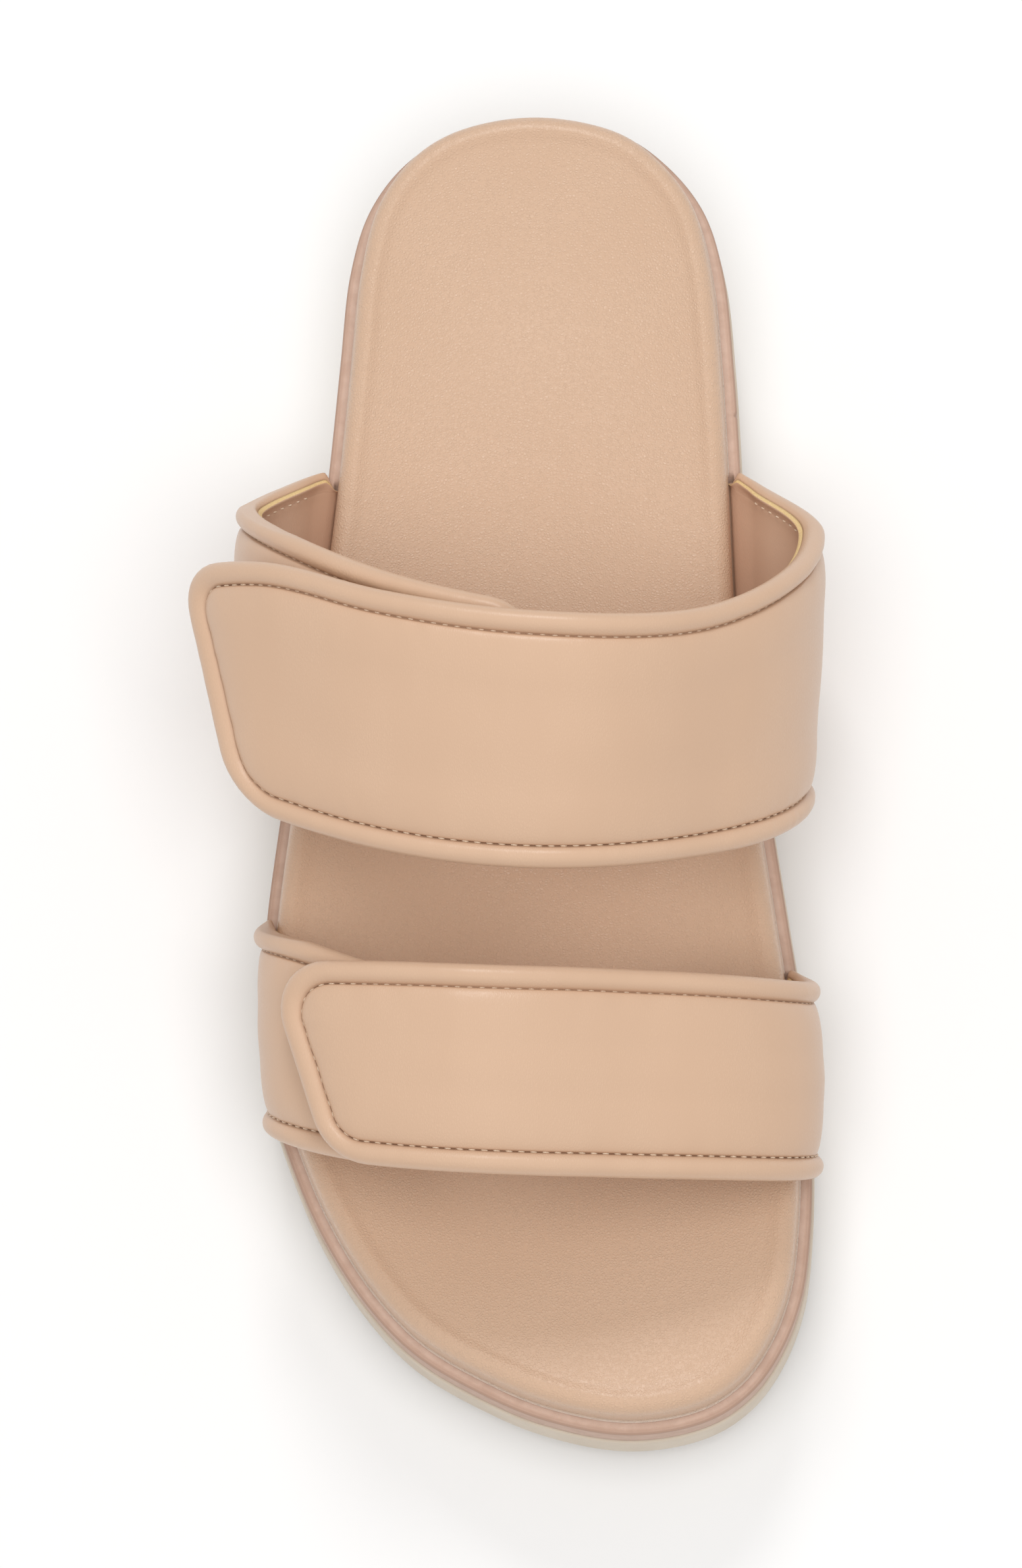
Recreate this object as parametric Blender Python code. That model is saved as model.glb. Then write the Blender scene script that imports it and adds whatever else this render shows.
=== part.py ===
# Slide sandal for the right foot: two padded straps with piped edges on a thick sole.
# Metres. The toe points along -Y, the big toe is on the +X side, and the tread rests on z = 0.
# Heights of the straps are taken from the footbed's seat, the plane that the footbed is glued to.

import math

import bmesh
import bpy
from mathutils import Vector

MM = 0.001
CLEARANCE = 0.3 * MM          # gap between glued or sewn pieces

# The last, which the footbed follows
FOOTBED_LENGTH = 252.5 * MM
BALL_WIDTH = 98 * MM

# Sole stack
HEEL_SEAT_HEIGHT = 31 * MM    # floor to the footbed's seat, at the heel
BALL_SEAT_HEIGHT = 24 * MM    # the same at the ball of the foot
TOE_SPRING = 8 * MM           # rise of the tread at the toe's tip
HEEL_BEVEL = 1.5 * MM         # rise of the tread at the heel's back
MIDSOLE_THICKNESS = 8 * MM
MIDSOLE_LEDGE = 2.3 * MM      # how far the midsole stands out past the footbed
MIDSOLE_EDGE_RADIUS = 0.8 * MM
OUTSOLE_STEP = 0.9 * MM       # how far the outsole stands out past the midsole
OUTSOLE_TOP_RADIUS = 0.6 * MM
TREAD_EDGE_RADIUS = 2 * MM
GROOVE_WIDTH = 2.6 * MM       # tread grooves, across the sole
GROOVE_DEPTH = 1.8 * MM
GROOVE_PITCH = 15 * MM
TREAD_BORDER = 9 * MM         # uncut margin round the tread

# Footbed
FOOTBED_THICKNESS = 9 * MM    # seat to the top of the rolled rim
RIM_RADIUS = 3.6 * MM
RIM_FLAT = 1.2 * MM
TUCK = 0.6 * MM               # the wrap turns in under the rim by this much
CUP_DEPTH = 4.5 * MM          # deepest part of the dished top, below the rim
ARCH_RISE = 2.4 * MM          # support under the inner arch

# Straps
PIPE_RADIUS = 2.2 * MM        # rolled piping along the strap edges
PANEL_EDGE = 1.0 * MM         # outer face of the padding above the wall's middle, at the seam
PANEL_CROWN = 3.0 * MM        # the same in the middle of the padding
LINING_DEPTH = 1.2 * MM       # inner face below the wall's middle
PADDING_RISE = 9 * MM         # distance over which the padding swells from its seam
TAB_THICKNESS = 1.4 * MM      # strap margin glued under the footbed
TAB_LENGTH = 10 * MM
PADDING_START = 28 * MM       # distance above the seat over which the padding gains its thickness
PIPE_START = 3.4 * MM         # the piping ends this far up the strap, clear of the midsole
PIPE_FULL = 12 * MM           # and has its full thickness from here, clear of the footbed's rim
LEAST_CORNER = 2 * MM         # smallest corner radius of the flap's inner outlines
FLAP_CORNER = 11.5 * MM       # radius of the flap's corners
FLAP_STEP = PANEL_CROWN + PIPE_RADIUS + 5 * CLEARANCE   # upper half over the lower half, middle to middle
LIFT_RUN = 40 * MM            # distance over which the upper half climbs onto the lower one
LIFT_MARGIN = 2 * MM          # and the climb ends this far before the lower half begins
LOWER_TAPER = 5 * MM          # the lower half's heel edge draws in by this much, under the flap
TAPER_START = 0.55            # from this share of its length
SPRING_LIMIT = 1.2            # the spring grows no further than this share of its run

BEND_RADIUS = CLEARANCE + TAB_THICKNESS / 2             # where the wall turns in under the footbed
FULL_STANDOFF = PIPE_RADIUS - CLEARANCE                 # footbed's side to the wall's middle, above there

# Steps for the wall's directions
FOOT_PROBE = 0.2 * MM
WALL_PROBE = 2 * MM

# Counts of points, for the faceted solids
OUTLINE_STEPS = 32            # along each side of the sole
ARCH_POINTS = 23              # along a strap half
ARCH_STEPS = 60               # points of a strap's middle surface, along each quarter of its arch
WALL_STEPS = 240              # the same along the whole arch, at even distances
WALL_ARCHES = 13              # and across it
CORNER_POINTS = 4             # round each flap corner
PIPE_SIDES = 8

# Places along the sole, as shares of the footbed's length
HEEL_BEVEL_END = 0.06         # the tread is flat from here
TOE_SPRING_START = 0.70       # to here
SLOPE_START = 0.22            # the seat falls from the heel's height to the ball's between these
SLOPE_END = 0.64
ARCH_CENTRE = 0.40            # of the support under the inner arch
ARCH_SPREAD = 0.11
SPINE_END = 0.16              # the dished top's middle line stops this far from heel and toe
TOP_FOLLOW = 0.75             # how much of the toe spring the footbed's top follows, as a share of it

# Plan of the footbed, heel to toe: distance along as a share of its length,
# and where its outer and inner sides lie as shares of the ball width
PLAN_COLUMNS = ("along", "lateral", "medial")
PLAN = (
    (0.000, 0.000, 0.000),
    (0.012, -0.158, 0.163),
    (0.035, -0.245, 0.246),
    (0.070, -0.305, 0.312),
    (0.120, -0.337, 0.347),
    (0.190, -0.354, 0.366),
    (0.270, -0.373, 0.379),
    (0.360, -0.400, 0.390),
    (0.450, -0.432, 0.405),
    (0.540, -0.465, 0.441),
    (0.620, -0.490, 0.474),
    (0.690, -0.498, 0.502),
    (0.750, -0.479, 0.516),
    (0.800, -0.437, 0.520),
    (0.850, -0.381, 0.517),
    (0.900, -0.301, 0.502),
    (0.940, -0.205, 0.465),
    (0.970, -0.078, 0.412),
    (0.990, 0.046, 0.337),
    (1.000, 0.199, 0.199),
)

# Depth of the dished top along the footbed, as a share of CUP_DEPTH
CUP_COLUMNS = ("along", "depth")
CUP = ((0.0, 0.75), (0.12, 1.0), (0.3, 0.8), (0.5, 0.45), (0.7, 0.5), (0.88, 0.45), (1.0, 0.3))

# The two edges of each strap, as it leaves the sole and at its top. Places along the sole are
# shares of the footbed's length, the curves are powers that shape the lean on the inner and outer
# side, the kick is the share of the lean that the outer side gains low down, and the rest are sizes.
STRAPS = {
    "instep": {
        "heel_edge": {
            "medial_foot": 0.264, "lateral_foot": 0.270, "height": 66 * MM,
            "lean": 37 * MM, "medial_curve": 0.68, "lateral_curve": 1.5, "lateral_kick": 0.2,
            "medial_bulge": 15.1 * MM, "lateral_bulge": 15.4 * MM, "bulge_height": 20 * MM,
        },
        "toe_edge": {
            "medial_foot": 0.508, "lateral_foot": 0.481, "height": 54 * MM,
            "lean": 31 * MM, "medial_curve": 1.1, "lateral_curve": 1.3, "lateral_kick": 0.0,
            "medial_bulge": 8.4 * MM, "lateral_bulge": 6.8 * MM, "bulge_height": 19 * MM,
        },
        "waist": 0.0 * MM,        # the outer side is drawn in this much midway between its edges
        "crest_shift": 8 * MM,    # the top of the arch lies this far to the inner side of the middle
        "flap_stop": 34 * MM,     # from the outer foot of the strap up to the flap's heel-side corner
        "flap_slant": 9.5 * MM,   # how much shorter the flap is at its toe side
        "overlap": 70 * MM,       # how far the lower half runs on under the flap
        "spring": 6.5 * MM,       # how far the flap's end springs off the lower half
        "spring_run": 32 * MM,    # over this distance
    },
    "toe": {
        "heel_edge": {
            "medial_foot": 0.645, "lateral_foot": 0.612, "height": 45 * MM,
            "lean": 12.5 * MM, "medial_curve": 0.5, "lateral_curve": 0.8, "lateral_kick": 0.0,
            "medial_bulge": 3.4 * MM, "lateral_bulge": 0.6 * MM, "bulge_height": 11 * MM,
        },
        "toe_edge": {
            "medial_foot": 0.808, "lateral_foot": 0.772, "height": 39 * MM,
            "lean": 12.5 * MM, "medial_curve": 1.0, "lateral_curve": 1.0, "lateral_kick": 0.0,
            "medial_bulge": 0.6 * MM, "lateral_bulge": 0.5 * MM, "bulge_height": 10 * MM,
        },
        "waist": 1.8 * MM,
        "crest_shift": 5 * MM,
        "flap_stop": 30 * MM,
        "flap_slant": 9 * MM,
        "overlap": 32 * MM,
        "spring": 1 * MM,
        "spring_run": 20 * MM,
    },
}

# How far a flap's heel edge lies inside the lower half's, by share of the upper half's length
SETBACK_COLUMNS = ("along", "instep", "toe")
SETBACKS = (
    (0.00, 0.0 * MM, 0.0 * MM),
    (0.15, 0.8 * MM, 0.4 * MM),
    (0.28, 3.6 * MM, 1.0 * MM),
    (0.40, 6.6 * MM, 1.6 * MM),
    (0.60, 5.4 * MM, 2.0 * MM),
    (0.75, 4.6 * MM, 2.1 * MM),
    (0.88, 4.2 * MM, 2.3 * MM),
    (1.00, 10.0 * MM, 4.0 * MM),
)

COLOURS = {
    "nude_leather": (0.68, 0.47, 0.33),
    "blush_foam": (0.58, 0.39, 0.30),
    "ivory_rubber": (0.78, 0.70, 0.60),
}


# Small helpers

def smooth(x):
    x = min(max(x, 0.0), 1.0)
    return x * x * (3 - 2 * x)


def mix(a, b, share):
    return a + (b - a) * share


def read_table(rows, columns, x, wanted):
    """Value of one column at x, on a smooth curve through the rows."""
    k = columns.index(wanted)
    if x <= rows[0][0]:
        return rows[0][k]
    for low, high in zip(rows, rows[1:]):
        if x <= high[0]:
            return mix(low[k], high[k], smooth((x - low[0]) / (high[0] - low[0])))
    return rows[-1][k]


def resample(points, shares):
    """Points at the given shares of the length of a line of points."""
    lengths = [0.0]
    for a, b in zip(points, points[1:]):
        lengths.append(lengths[-1] + (b - a).length)
    found, k = [], 0
    for share in shares:
        target = lengths[-1] * share
        while k < len(points) - 2 and lengths[k + 1] < target:
            k += 1
        span = max(lengths[k + 1] - lengths[k], 1e-12)
        found.append(points[k].lerp(points[k + 1], (target - lengths[k]) / span))
    return found


def catmull_rom(a, b, c, d, share):
    """A point between b and c, on a centripetal curve through the four points."""
    knots = [0.0]
    for p, q in ((a, b), (b, c), (c, d)):
        knots.append(knots[-1] + math.sqrt((q - p).length))
    t = mix(knots[1], knots[2], share)

    def between(p, q, low, high):
        return p * ((high - t) / (high - low)) + q * ((t - low) / (high - low))

    ab, bc, cd = (between(*pair, knots[i], knots[i + 1]) for i, pair in enumerate(((a, b), (b, c), (c, d))))
    abc, bcd = between(ab, bc, knots[0], knots[2]), between(bc, cd, knots[1], knots[3])
    return between(abc, bcd, knots[1], knots[2])


# Plan of the sole

def plan_sides(steps=10):
    """The footbed's outer and inner sides, heel to toe, as dense lines of points."""
    tips = [Vector((PLAN[i][1] * BALL_WIDTH, -PLAN[i][0] * FOOTBED_LENGTH)) for i in (0, -1)]
    rows = PLAN[1:-1]
    lateral = [Vector((row[1] * BALL_WIDTH, -row[0] * FOOTBED_LENGTH)) for row in rows]
    medial = [Vector((row[2] * BALL_WIDTH, -row[0] * FOOTBED_LENGTH)) for row in rows]
    loop = [tips[0], *lateral, tips[1], *reversed(medial)]
    count = len(loop)
    dense = []
    for i in range(count):
        near = [loop[(i + k) % count] for k in (-1, 0, 1, 2)]
        dense += [catmull_rom(*near, step / steps) for step in range(steps)]
    half = (len(rows) + 1) * steps
    return dense[: half + 1], [dense[0], *reversed(dense[half:])]


LATERAL_SIDE, MEDIAL_SIDE = plan_sides()


def plan_loop():
    """Points round the footbed with their outward directions: heel tip, outer side, toe tip, inner side."""
    shares = [k / OUTLINE_STEPS for k in range(OUTLINE_STEPS + 1)]
    lateral, medial = resample(LATERAL_SIDE, shares), resample(MEDIAL_SIDE, shares)
    points = lateral + medial[-2:0:-1]
    found = []
    for i, point in enumerate(points):
        along = points[(i + 1) % len(points)] - points[i - 1]
        found.append((point, Vector((-along.y, along.x)).normalized() * -1))
    return found


PLAN_LOOP = plan_loop()


def side_x(along, side):
    """Where one side of the footbed lies at a distance from the heel, in metres."""
    line = MEDIAL_SIDE if side > 0 else LATERAL_SIDE
    y = -along
    for a, b in zip(line, line[1:]):
        if b.y <= y <= a.y:
            return mix(a.x, b.x, (a.y - y) / max(a.y - b.y, 1e-9))
    return line[-1].x


def middle_x(along):
    return (side_x(along, 1) + side_x(along, -1)) / 2


def ring_at(outward):
    """The plan grown outward by a distance, or shrunk by a negative one."""
    return [point + direction * outward for point, direction in PLAN_LOOP]


def ring_inside(outward, share):
    """That ring drawn in towards the sole's middle line, which it reaches at share 0."""
    end = SPINE_END * FOOTBED_LENGTH
    found = []
    for point in ring_at(outward):
        along = min(max(-point.y, end), FOOTBED_LENGTH - end)
        centre = Vector((middle_x(along), -along))
        found.append(centre.lerp(point, share))
    return found


# Heights along the sole

def share_along(y):
    return min(max(-y / FOOTBED_LENGTH, 0.0), 1.0)


def toe_rise(t):
    return TOE_SPRING * max(0.0, (t - TOE_SPRING_START) / (1 - TOE_SPRING_START)) ** 2


def tread_z(y):
    t = share_along(y)
    return toe_rise(t) + HEEL_BEVEL * max(0.0, 1 - t / HEEL_BEVEL_END) ** 2


def seat_z(y):
    t = share_along(y)
    fallen = smooth((t - SLOPE_START) / (SLOPE_END - SLOPE_START))
    return mix(HEEL_SEAT_HEIGHT, BALL_SEAT_HEIGHT, fallen) + TOP_FOLLOW * toe_rise(t)


def midsole_bottom_z(y):
    return seat_z(y) - CLEARANCE - MIDSOLE_THICKNESS


def footbed_top_z(x, y, share):
    """Dished top, share 1 at the rim and 0 on the middle line."""
    t = share_along(y)
    depth = CUP_DEPTH * read_table(CUP, CUP_COLUMNS, t, "depth") * (1 - share ** 3)
    inner = smooth((x - middle_x(t * FOOTBED_LENGTH)) / (0.3 * BALL_WIDTH))
    arch = ARCH_RISE * inner * math.exp(-((t - ARCH_CENTRE) / ARCH_SPREAD) ** 2) * (1 - share ** 4)
    return seat_z(y) + FOOTBED_THICKNESS - depth + arch


# Mesh helpers

def material(name):
    found = bpy.data.materials.get(name)
    if found is None:
        found = bpy.data.materials.new(name)
        found.use_nodes = True
        shader = found.node_tree.nodes["Principled BSDF"]
        shader.inputs["Base Color"].default_value = (*COLOURS[name], 1)
        shader.inputs["Roughness"].default_value = 0.75 if name == "ivory_rubber" else 0.5
        shader.inputs["Metallic"].default_value = 0.0
    return found


def add_object(name, vertices, faces, finish, parent):
    mesh = bpy.data.meshes.new(name)
    mesh.from_pydata([tuple(v) for v in vertices], [], faces)
    body = bmesh.new()
    body.from_mesh(mesh)
    bmesh.ops.recalc_face_normals(body, faces=body.faces)
    body.to_mesh(mesh)
    body.free()
    made = bpy.data.objects.new(name, mesh)
    bpy.context.scene.collection.objects.link(made)
    mesh.shade_smooth()
    mesh.set_sharp_from_angle(angle=math.radians(40))
    if finish:
        mesh.materials.append(material(finish))
    made.parent = parent
    return made


def loft(rings, closed=True):
    """Vertices, and faces that join each ring to the next."""
    count = len(rings[0])
    vertices = [point for ring in rings for point in ring]
    last = count if closed else count - 1
    faces = []
    for r in range(len(rings) - 1):
        for i in range(last):
            j = (i + 1) % count
            faces.append((r * count + i, r * count + j, (r + 1) * count + j, (r + 1) * count + i))
    return vertices, faces


def cap_across(first, count):
    """Faces over a sole ring, each joining the outer side to the inner side."""
    half = count // 2
    faces = [(first, first + 1, first + count - 1)]
    for i in range(1, half - 1):
        faces.append((first + i, first + i + 1, first + count - i - 1, first + count - i))
    faces.append((first + half - 1, first + half, first + half + 1))
    return faces


def raised(ring, height):
    return [Vector((p.x, p.y, height(p))) for p in ring]


def subtract(body, cutter):
    cutter.hide_render = True
    cutter.display_type = "WIRE"
    cut = body.modifiers.new(cutter.name, "BOOLEAN")
    cut.operation = "DIFFERENCE"
    cut.object = cutter


def block(name, corners, parent):
    """A closed solid from two rings of the same count, bottom and top."""
    bottom, top = corners
    count = len(bottom)
    vertices, faces = loft([bottom, top])
    faces += [tuple(range(count)), tuple(range(2 * count - 1, count - 1, -1))]
    return add_object(name, vertices, faces, None, parent)


# Sole

def sole_layer(name, profile, finish, parent):
    """A layer of the sole from rows of (distance outward, height function), bottom to top."""
    rings = [raised(ring_at(outward), height) for outward, height in profile]
    vertices, faces = loft(rings)
    count = len(PLAN_LOOP)
    faces += cap_across(0, count) + cap_across((len(rings) - 1) * count, count)
    return add_object(name, vertices, faces, finish, parent)


def make_outsole(parent):
    edge = MIDSOLE_LEDGE + OUTSOLE_STEP

    def top(p):
        return midsole_bottom_z(p.y) - CLEARANCE

    profile = (
        (edge - TREAD_EDGE_RADIUS, lambda p: tread_z(p.y)),
        (edge - 0.3 * TREAD_EDGE_RADIUS, lambda p: tread_z(p.y) + 0.3 * TREAD_EDGE_RADIUS),
        (edge, lambda p: tread_z(p.y) + TREAD_EDGE_RADIUS),
        (edge, lambda p: top(p) - OUTSOLE_TOP_RADIUS),
        (edge - 0.3 * OUTSOLE_TOP_RADIUS, lambda p: top(p) - 0.3 * OUTSOLE_TOP_RADIUS),
        (edge - OUTSOLE_TOP_RADIUS, top),
    )
    outsole = sole_layer("outsole", profile, "ivory_rubber", parent)
    subtract(outsole, tread_grooves(parent))
    return outsole


def tread_grooves(parent):
    """Cutter for the cross grooves, which stop short of the tread's border."""
    vertices, faces = [], []
    count = int((FOOTBED_LENGTH - 2 * TREAD_BORDER) // GROOVE_PITCH)
    first = (FOOTBED_LENGTH - (count - 1) * GROOVE_PITCH) / 2
    for k in range(count):
        along = first + k * GROOVE_PITCH
        ends = [side_x(along, side) - side * TREAD_BORDER for side in (-1, 1)]
        for y in (-along + GROOVE_WIDTH / 2, -along - GROOVE_WIDTH / 2):
            floor = tread_z(y)
            low, high = floor - 2 * GROOVE_DEPTH, floor + GROOVE_DEPTH
            vertices += [(ends[0], y, low), (ends[1], y, low), (ends[1], y, high), (ends[0], y, high)]
        a = 8 * k
        faces += [(a, a + 1, a + 2, a + 3), (a + 7, a + 6, a + 5, a + 4)]
        faces += [(a + i, a + 4 + i, a + 4 + (i + 1) % 4, a + (i + 1) % 4) for i in range(4)]
    return add_object("tread_groove_cutter", vertices, faces, None, parent)


def make_midsole(parent):
    r = MIDSOLE_EDGE_RADIUS

    def top(p):
        return seat_z(p.y) - CLEARANCE

    profile = (
        (MIDSOLE_LEDGE, lambda p: midsole_bottom_z(p.y)),
        (MIDSOLE_LEDGE, lambda p: top(p) - r),
        (MIDSOLE_LEDGE - 0.3 * r, lambda p: top(p) - 0.3 * r),
        (MIDSOLE_LEDGE - r, top),
    )
    midsole = sole_layer("midsole", profile, "blush_foam", parent)
    for strap in STRAPS:
        for side in (-1, 1):
            subtract(midsole, strap_slot(strap, side, parent))
    return midsole


def strap_slot(strap, side, parent):
    """Cutter for the slot in the midsole's top, where a strap's margin is glued under the footbed."""
    foot = "medial_foot" if side > 0 else "lateral_foot"
    start, end = (STRAPS[strap][edge][foot] * FOOTBED_LENGTH for edge in ("heel_edge", "toe_edge"))
    start += 2 * PIPE_RADIUS - CLEARANCE
    end -= 2 * PIPE_RADIUS - CLEARANCE
    depth = TAB_THICKNESS + 2 * CLEARANCE
    steps = 6
    inner, outer = [], []
    for i in range(steps + 1):
        along = mix(start, end, i / steps)
        x = side_x(along, side)
        inner.append(Vector((x - side * (TAB_LENGTH + 2 * CLEARANCE), -along, 0)))
        outer.append(Vector((x + side * 2 * MIDSOLE_LEDGE, -along, 0)))
    plan = inner + outer[::-1]
    bottom = [Vector((p.x, p.y, seat_z(p.y) - depth)) for p in plan]
    top = [Vector((p.x, p.y, seat_z(p.y) + depth)) for p in plan]
    name = f"{strap}_slot_cutter_{'medial' if side > 0 else 'lateral'}"
    return block(name, (bottom, top), parent)


def make_footbed(parent):
    """Wrapped, padded footbed with a rolled rim and a dished top."""
    height = FOOTBED_THICKNESS
    rings = [
        raised(ring_at(-TUCK), lambda p: seat_z(p.y)),
        raised(ring_at(0), lambda p: seat_z(p.y) + TUCK),
    ]
    for angle in (0, 30, 60, 90):
        turn = math.radians(angle)
        inward = RIM_RADIUS * (1 - math.cos(turn))
        drop = RIM_RADIUS * (1 - math.sin(turn))
        rings.append(raised(ring_at(-inward), lambda p: seat_z(p.y) + height - drop))
    rim = -(RIM_RADIUS + RIM_FLAT)
    for share in (1.0, 0.9, 0.75, 0.5, 0.22):
        rings.append(raised(ring_inside(rim, share), lambda p: footbed_top_z(p.x, p.y, share)))
    vertices, faces = loft(rings)
    count = len(PLAN_LOOP)
    faces += cap_across(0, count) + cap_across((len(rings) - 1) * count, count)
    return add_object("footbed", vertices, faces, "nude_leather", parent)


# Straps

def standoff(z):
    """Footbed's side to the wall's middle, at a height above the seat."""
    return mix(BEND_RADIUS, FULL_STANDOFF, smooth(z / PIPE_START))


def arch(sizes, v):
    """A line over the foot, inner foot first, at share v of the way from the heel edge to the toe edge."""
    heel, toe = sizes["heel_edge"], sizes["toe_edge"]
    edge = {name: mix(heel[name], toe[name], v) for name in heel}
    feet = {side: edge[f"{name}_foot"] * FOOTBED_LENGTH for side, name in ((1, "medial"), (-1, "lateral"))}
    between = (feet[1] + feet[-1]) / 2
    crest_x = middle_x(between) + sizes["crest_shift"]
    knee, height = edge["bulge_height"], edge["height"]
    edge["lateral_bulge"] -= sizes["waist"] * math.sin(math.pi * v)
    kicks = {1: 0.0, -1: edge["lateral_kick"]}
    line = []
    for side, name in ((1, "medial"), (-1, "lateral")):
        bulge = edge[f"{name}_bulge"]
        base = side_x(feet[side], side)
        half = abs(base - crest_x) + FULL_STANDOFF + bulge
        flat = [
            (base + side * (standoff(knee * k / ARCH_STEPS) + bulge * math.sin(math.pi / 2 * k / ARCH_STEPS)),
             knee * k / ARCH_STEPS)
            for k in range(ARCH_STEPS)
        ]
        for k in range(ARCH_STEPS + 1):
            turn = math.pi / 2 * k / ARCH_STEPS
            flat.append((crest_x + side * half * math.cos(turn), knee + (height - knee) * math.sin(turn)))
        part = []
        for x, z in flat:
            up = z / height
            low = math.sin(math.pi / 2 * min(z / knee, 1.0))
            leaning = mix(up ** edge[f"{name}_curve"], low, kicks[side])
            along = mix(feet[side], between, up * up) + edge["lean"] * leaning
            part.append(Vector((x, -along, z + seat_z(-along))))
        line += part if side > 0 else part[-2::-1]
    return resample(line, [k / WALL_STEPS for k in range(WALL_STEPS + 1)])


class StrapWall:
    """The middle surface of one strap: s along it from its inner foot, w across it from its heel edge."""

    def __init__(self, strap):
        self.sizes = STRAPS[strap]
        self.arches = [arch(self.sizes, k / (WALL_ARCHES - 1)) for k in range(WALL_ARCHES)]
        edges = (self.arches[0], self.arches[-1])
        self.length = sum((b - a).length for line in edges for a, b in zip(line, line[1:])) / len(edges)

    def surface(self, u, v):
        row = min(max(v, 0.0), 1.0) * (WALL_ARCHES - 1)
        j = min(int(row), WALL_ARCHES - 2)
        found = []
        for line in (self.arches[j], self.arches[j + 1]):
            place = min(max(u, 0.0), 1.0) * (len(line) - 1)
            i = min(int(place), len(line) - 2)
            found.append(line[i].lerp(line[i + 1], place - i))
        return found[0].lerp(found[1], row - j)

    def width(self, s):
        u = s / self.length
        return (self.surface(u, 1) - self.surface(u, 0)).length

    def middle(self, s, w):
        """Past either foot the wall turns in under the footbed as its glued margin."""
        v = w / self.width(min(max(s, 0), self.length))
        point = self.surface(s / self.length, v)
        beyond = max(-s, s - self.length)
        if beyond <= 0:
            return point
        side = 1 if s < 0 else -1
        turn = min(beyond / BEND_RADIUS, math.pi / 2)
        inward = max(beyond - BEND_RADIUS * math.pi / 2, 0)
        shift = BEND_RADIUS * (1 - math.cos(turn)) + inward
        return point + Vector((-side * shift, 0, -BEND_RADIUS * math.sin(turn)))

    def normal(self, s, w):
        """The direction away from the foot."""
        near = min(abs(s), abs(s - self.length))
        inside = 0 < s < self.length
        step = min(max(near, FOOT_PROBE), WALL_PROBE) if inside else FOOT_PROBE
        along = self.middle(s + step, w) - self.middle(s - step, w)
        across = self.middle(s, w + MM) - self.middle(s, w - MM)
        return along.cross(across).normalized()


def padding(distance):
    """Height of the padded outer face at a distance from the seam."""
    share = min(max(distance / PADDING_RISE, 0.0), 1.0)
    return mix(PANEL_EDGE, PANEL_CROWN, math.sqrt(1 - (1 - share) ** 2))


def strap_section():
    """Rows of (distance in from the strap's edge, height over the wall's middle), padding to lining."""
    seam = 2 * PIPE_RADIUS
    steps = (1.0, 0.5, 0.18)
    rows = [(seam + step * PADDING_RISE, padding(step * PADDING_RISE)) for step in steps]
    rows.append((seam - 0.08 * PIPE_RADIUS, 0.3 * PIPE_RADIUS))
    for k in range(1, PIPE_SIDES):
        turn = 2 * math.pi * k / PIPE_SIDES
        rows.append((PIPE_RADIUS * (1 + math.cos(turn)), PIPE_RADIUS * math.sin(turn)))
    rows.append((seam, -LINING_DEPTH))
    return rows + [(seam + step * PADDING_RISE, -LINING_DEPTH) for step in reversed(steps)]


def at_foot(inset, height, s):
    """A point of the section near the foot, where the wall thins to its glued margin."""
    seam = 2 * PIPE_RADIUS
    thin = TAB_THICKNESS / 2
    grown = smooth(s / PIPE_START)
    full = smooth(s / PIPE_FULL)
    if inset <= seam:
        return mix(seam + 0.1 * inset, inset, grown), mix(thin * height / PIPE_RADIUS, height, full)
    if height < 0:
        return inset, mix(-thin, height, full)
    return inset, mix(thin, height, smooth(s / PADDING_START))


def outline_ring(inset, stations, reach, slant, heel_line, width):
    """The edge of a strap half drawn in by a distance: (s, w) up the heel edge, round the end and back."""
    broad = width(reach) - heel_line(reach)
    long = math.hypot(broad, slant)
    out_s, out_w = broad / long, slant / long
    radius = max(FLAP_CORNER - inset, LEAST_CORNER)
    deep = inset + radius
    heel_s = reach - deep * (1 + out_w) / out_s
    toe_s = reach - (deep + (broad - deep) * out_w) / out_s
    heel_w = heel_line(heel_s) + deep
    toe_w = width(toe_s) - deep
    facing = math.atan2(out_w, out_s)
    last = stations[-1]

    def spread(s_end):
        steps = range(1, ARCH_POINTS)
        return list(stations) + [mix(last, s_end, k / ARCH_POINTS) for k in steps]

    ring = [(s, heel_line(s) + inset) for s in spread(heel_s)]
    for k in range(CORNER_POINTS + 1):
        turn = mix(-math.pi / 2, facing, k / CORNER_POINTS)
        ring.append((heel_s + radius * math.cos(turn), heel_w + radius * math.sin(turn)))
    for k in range(CORNER_POINTS + 1):
        turn = mix(facing, math.pi / 2, k / CORNER_POINTS)
        ring.append((toe_s + radius * math.cos(turn), toe_w + radius * math.sin(turn)))
    return ring + [(s, width(s) - inset) for s in reversed(spread(toe_s))]


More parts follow.
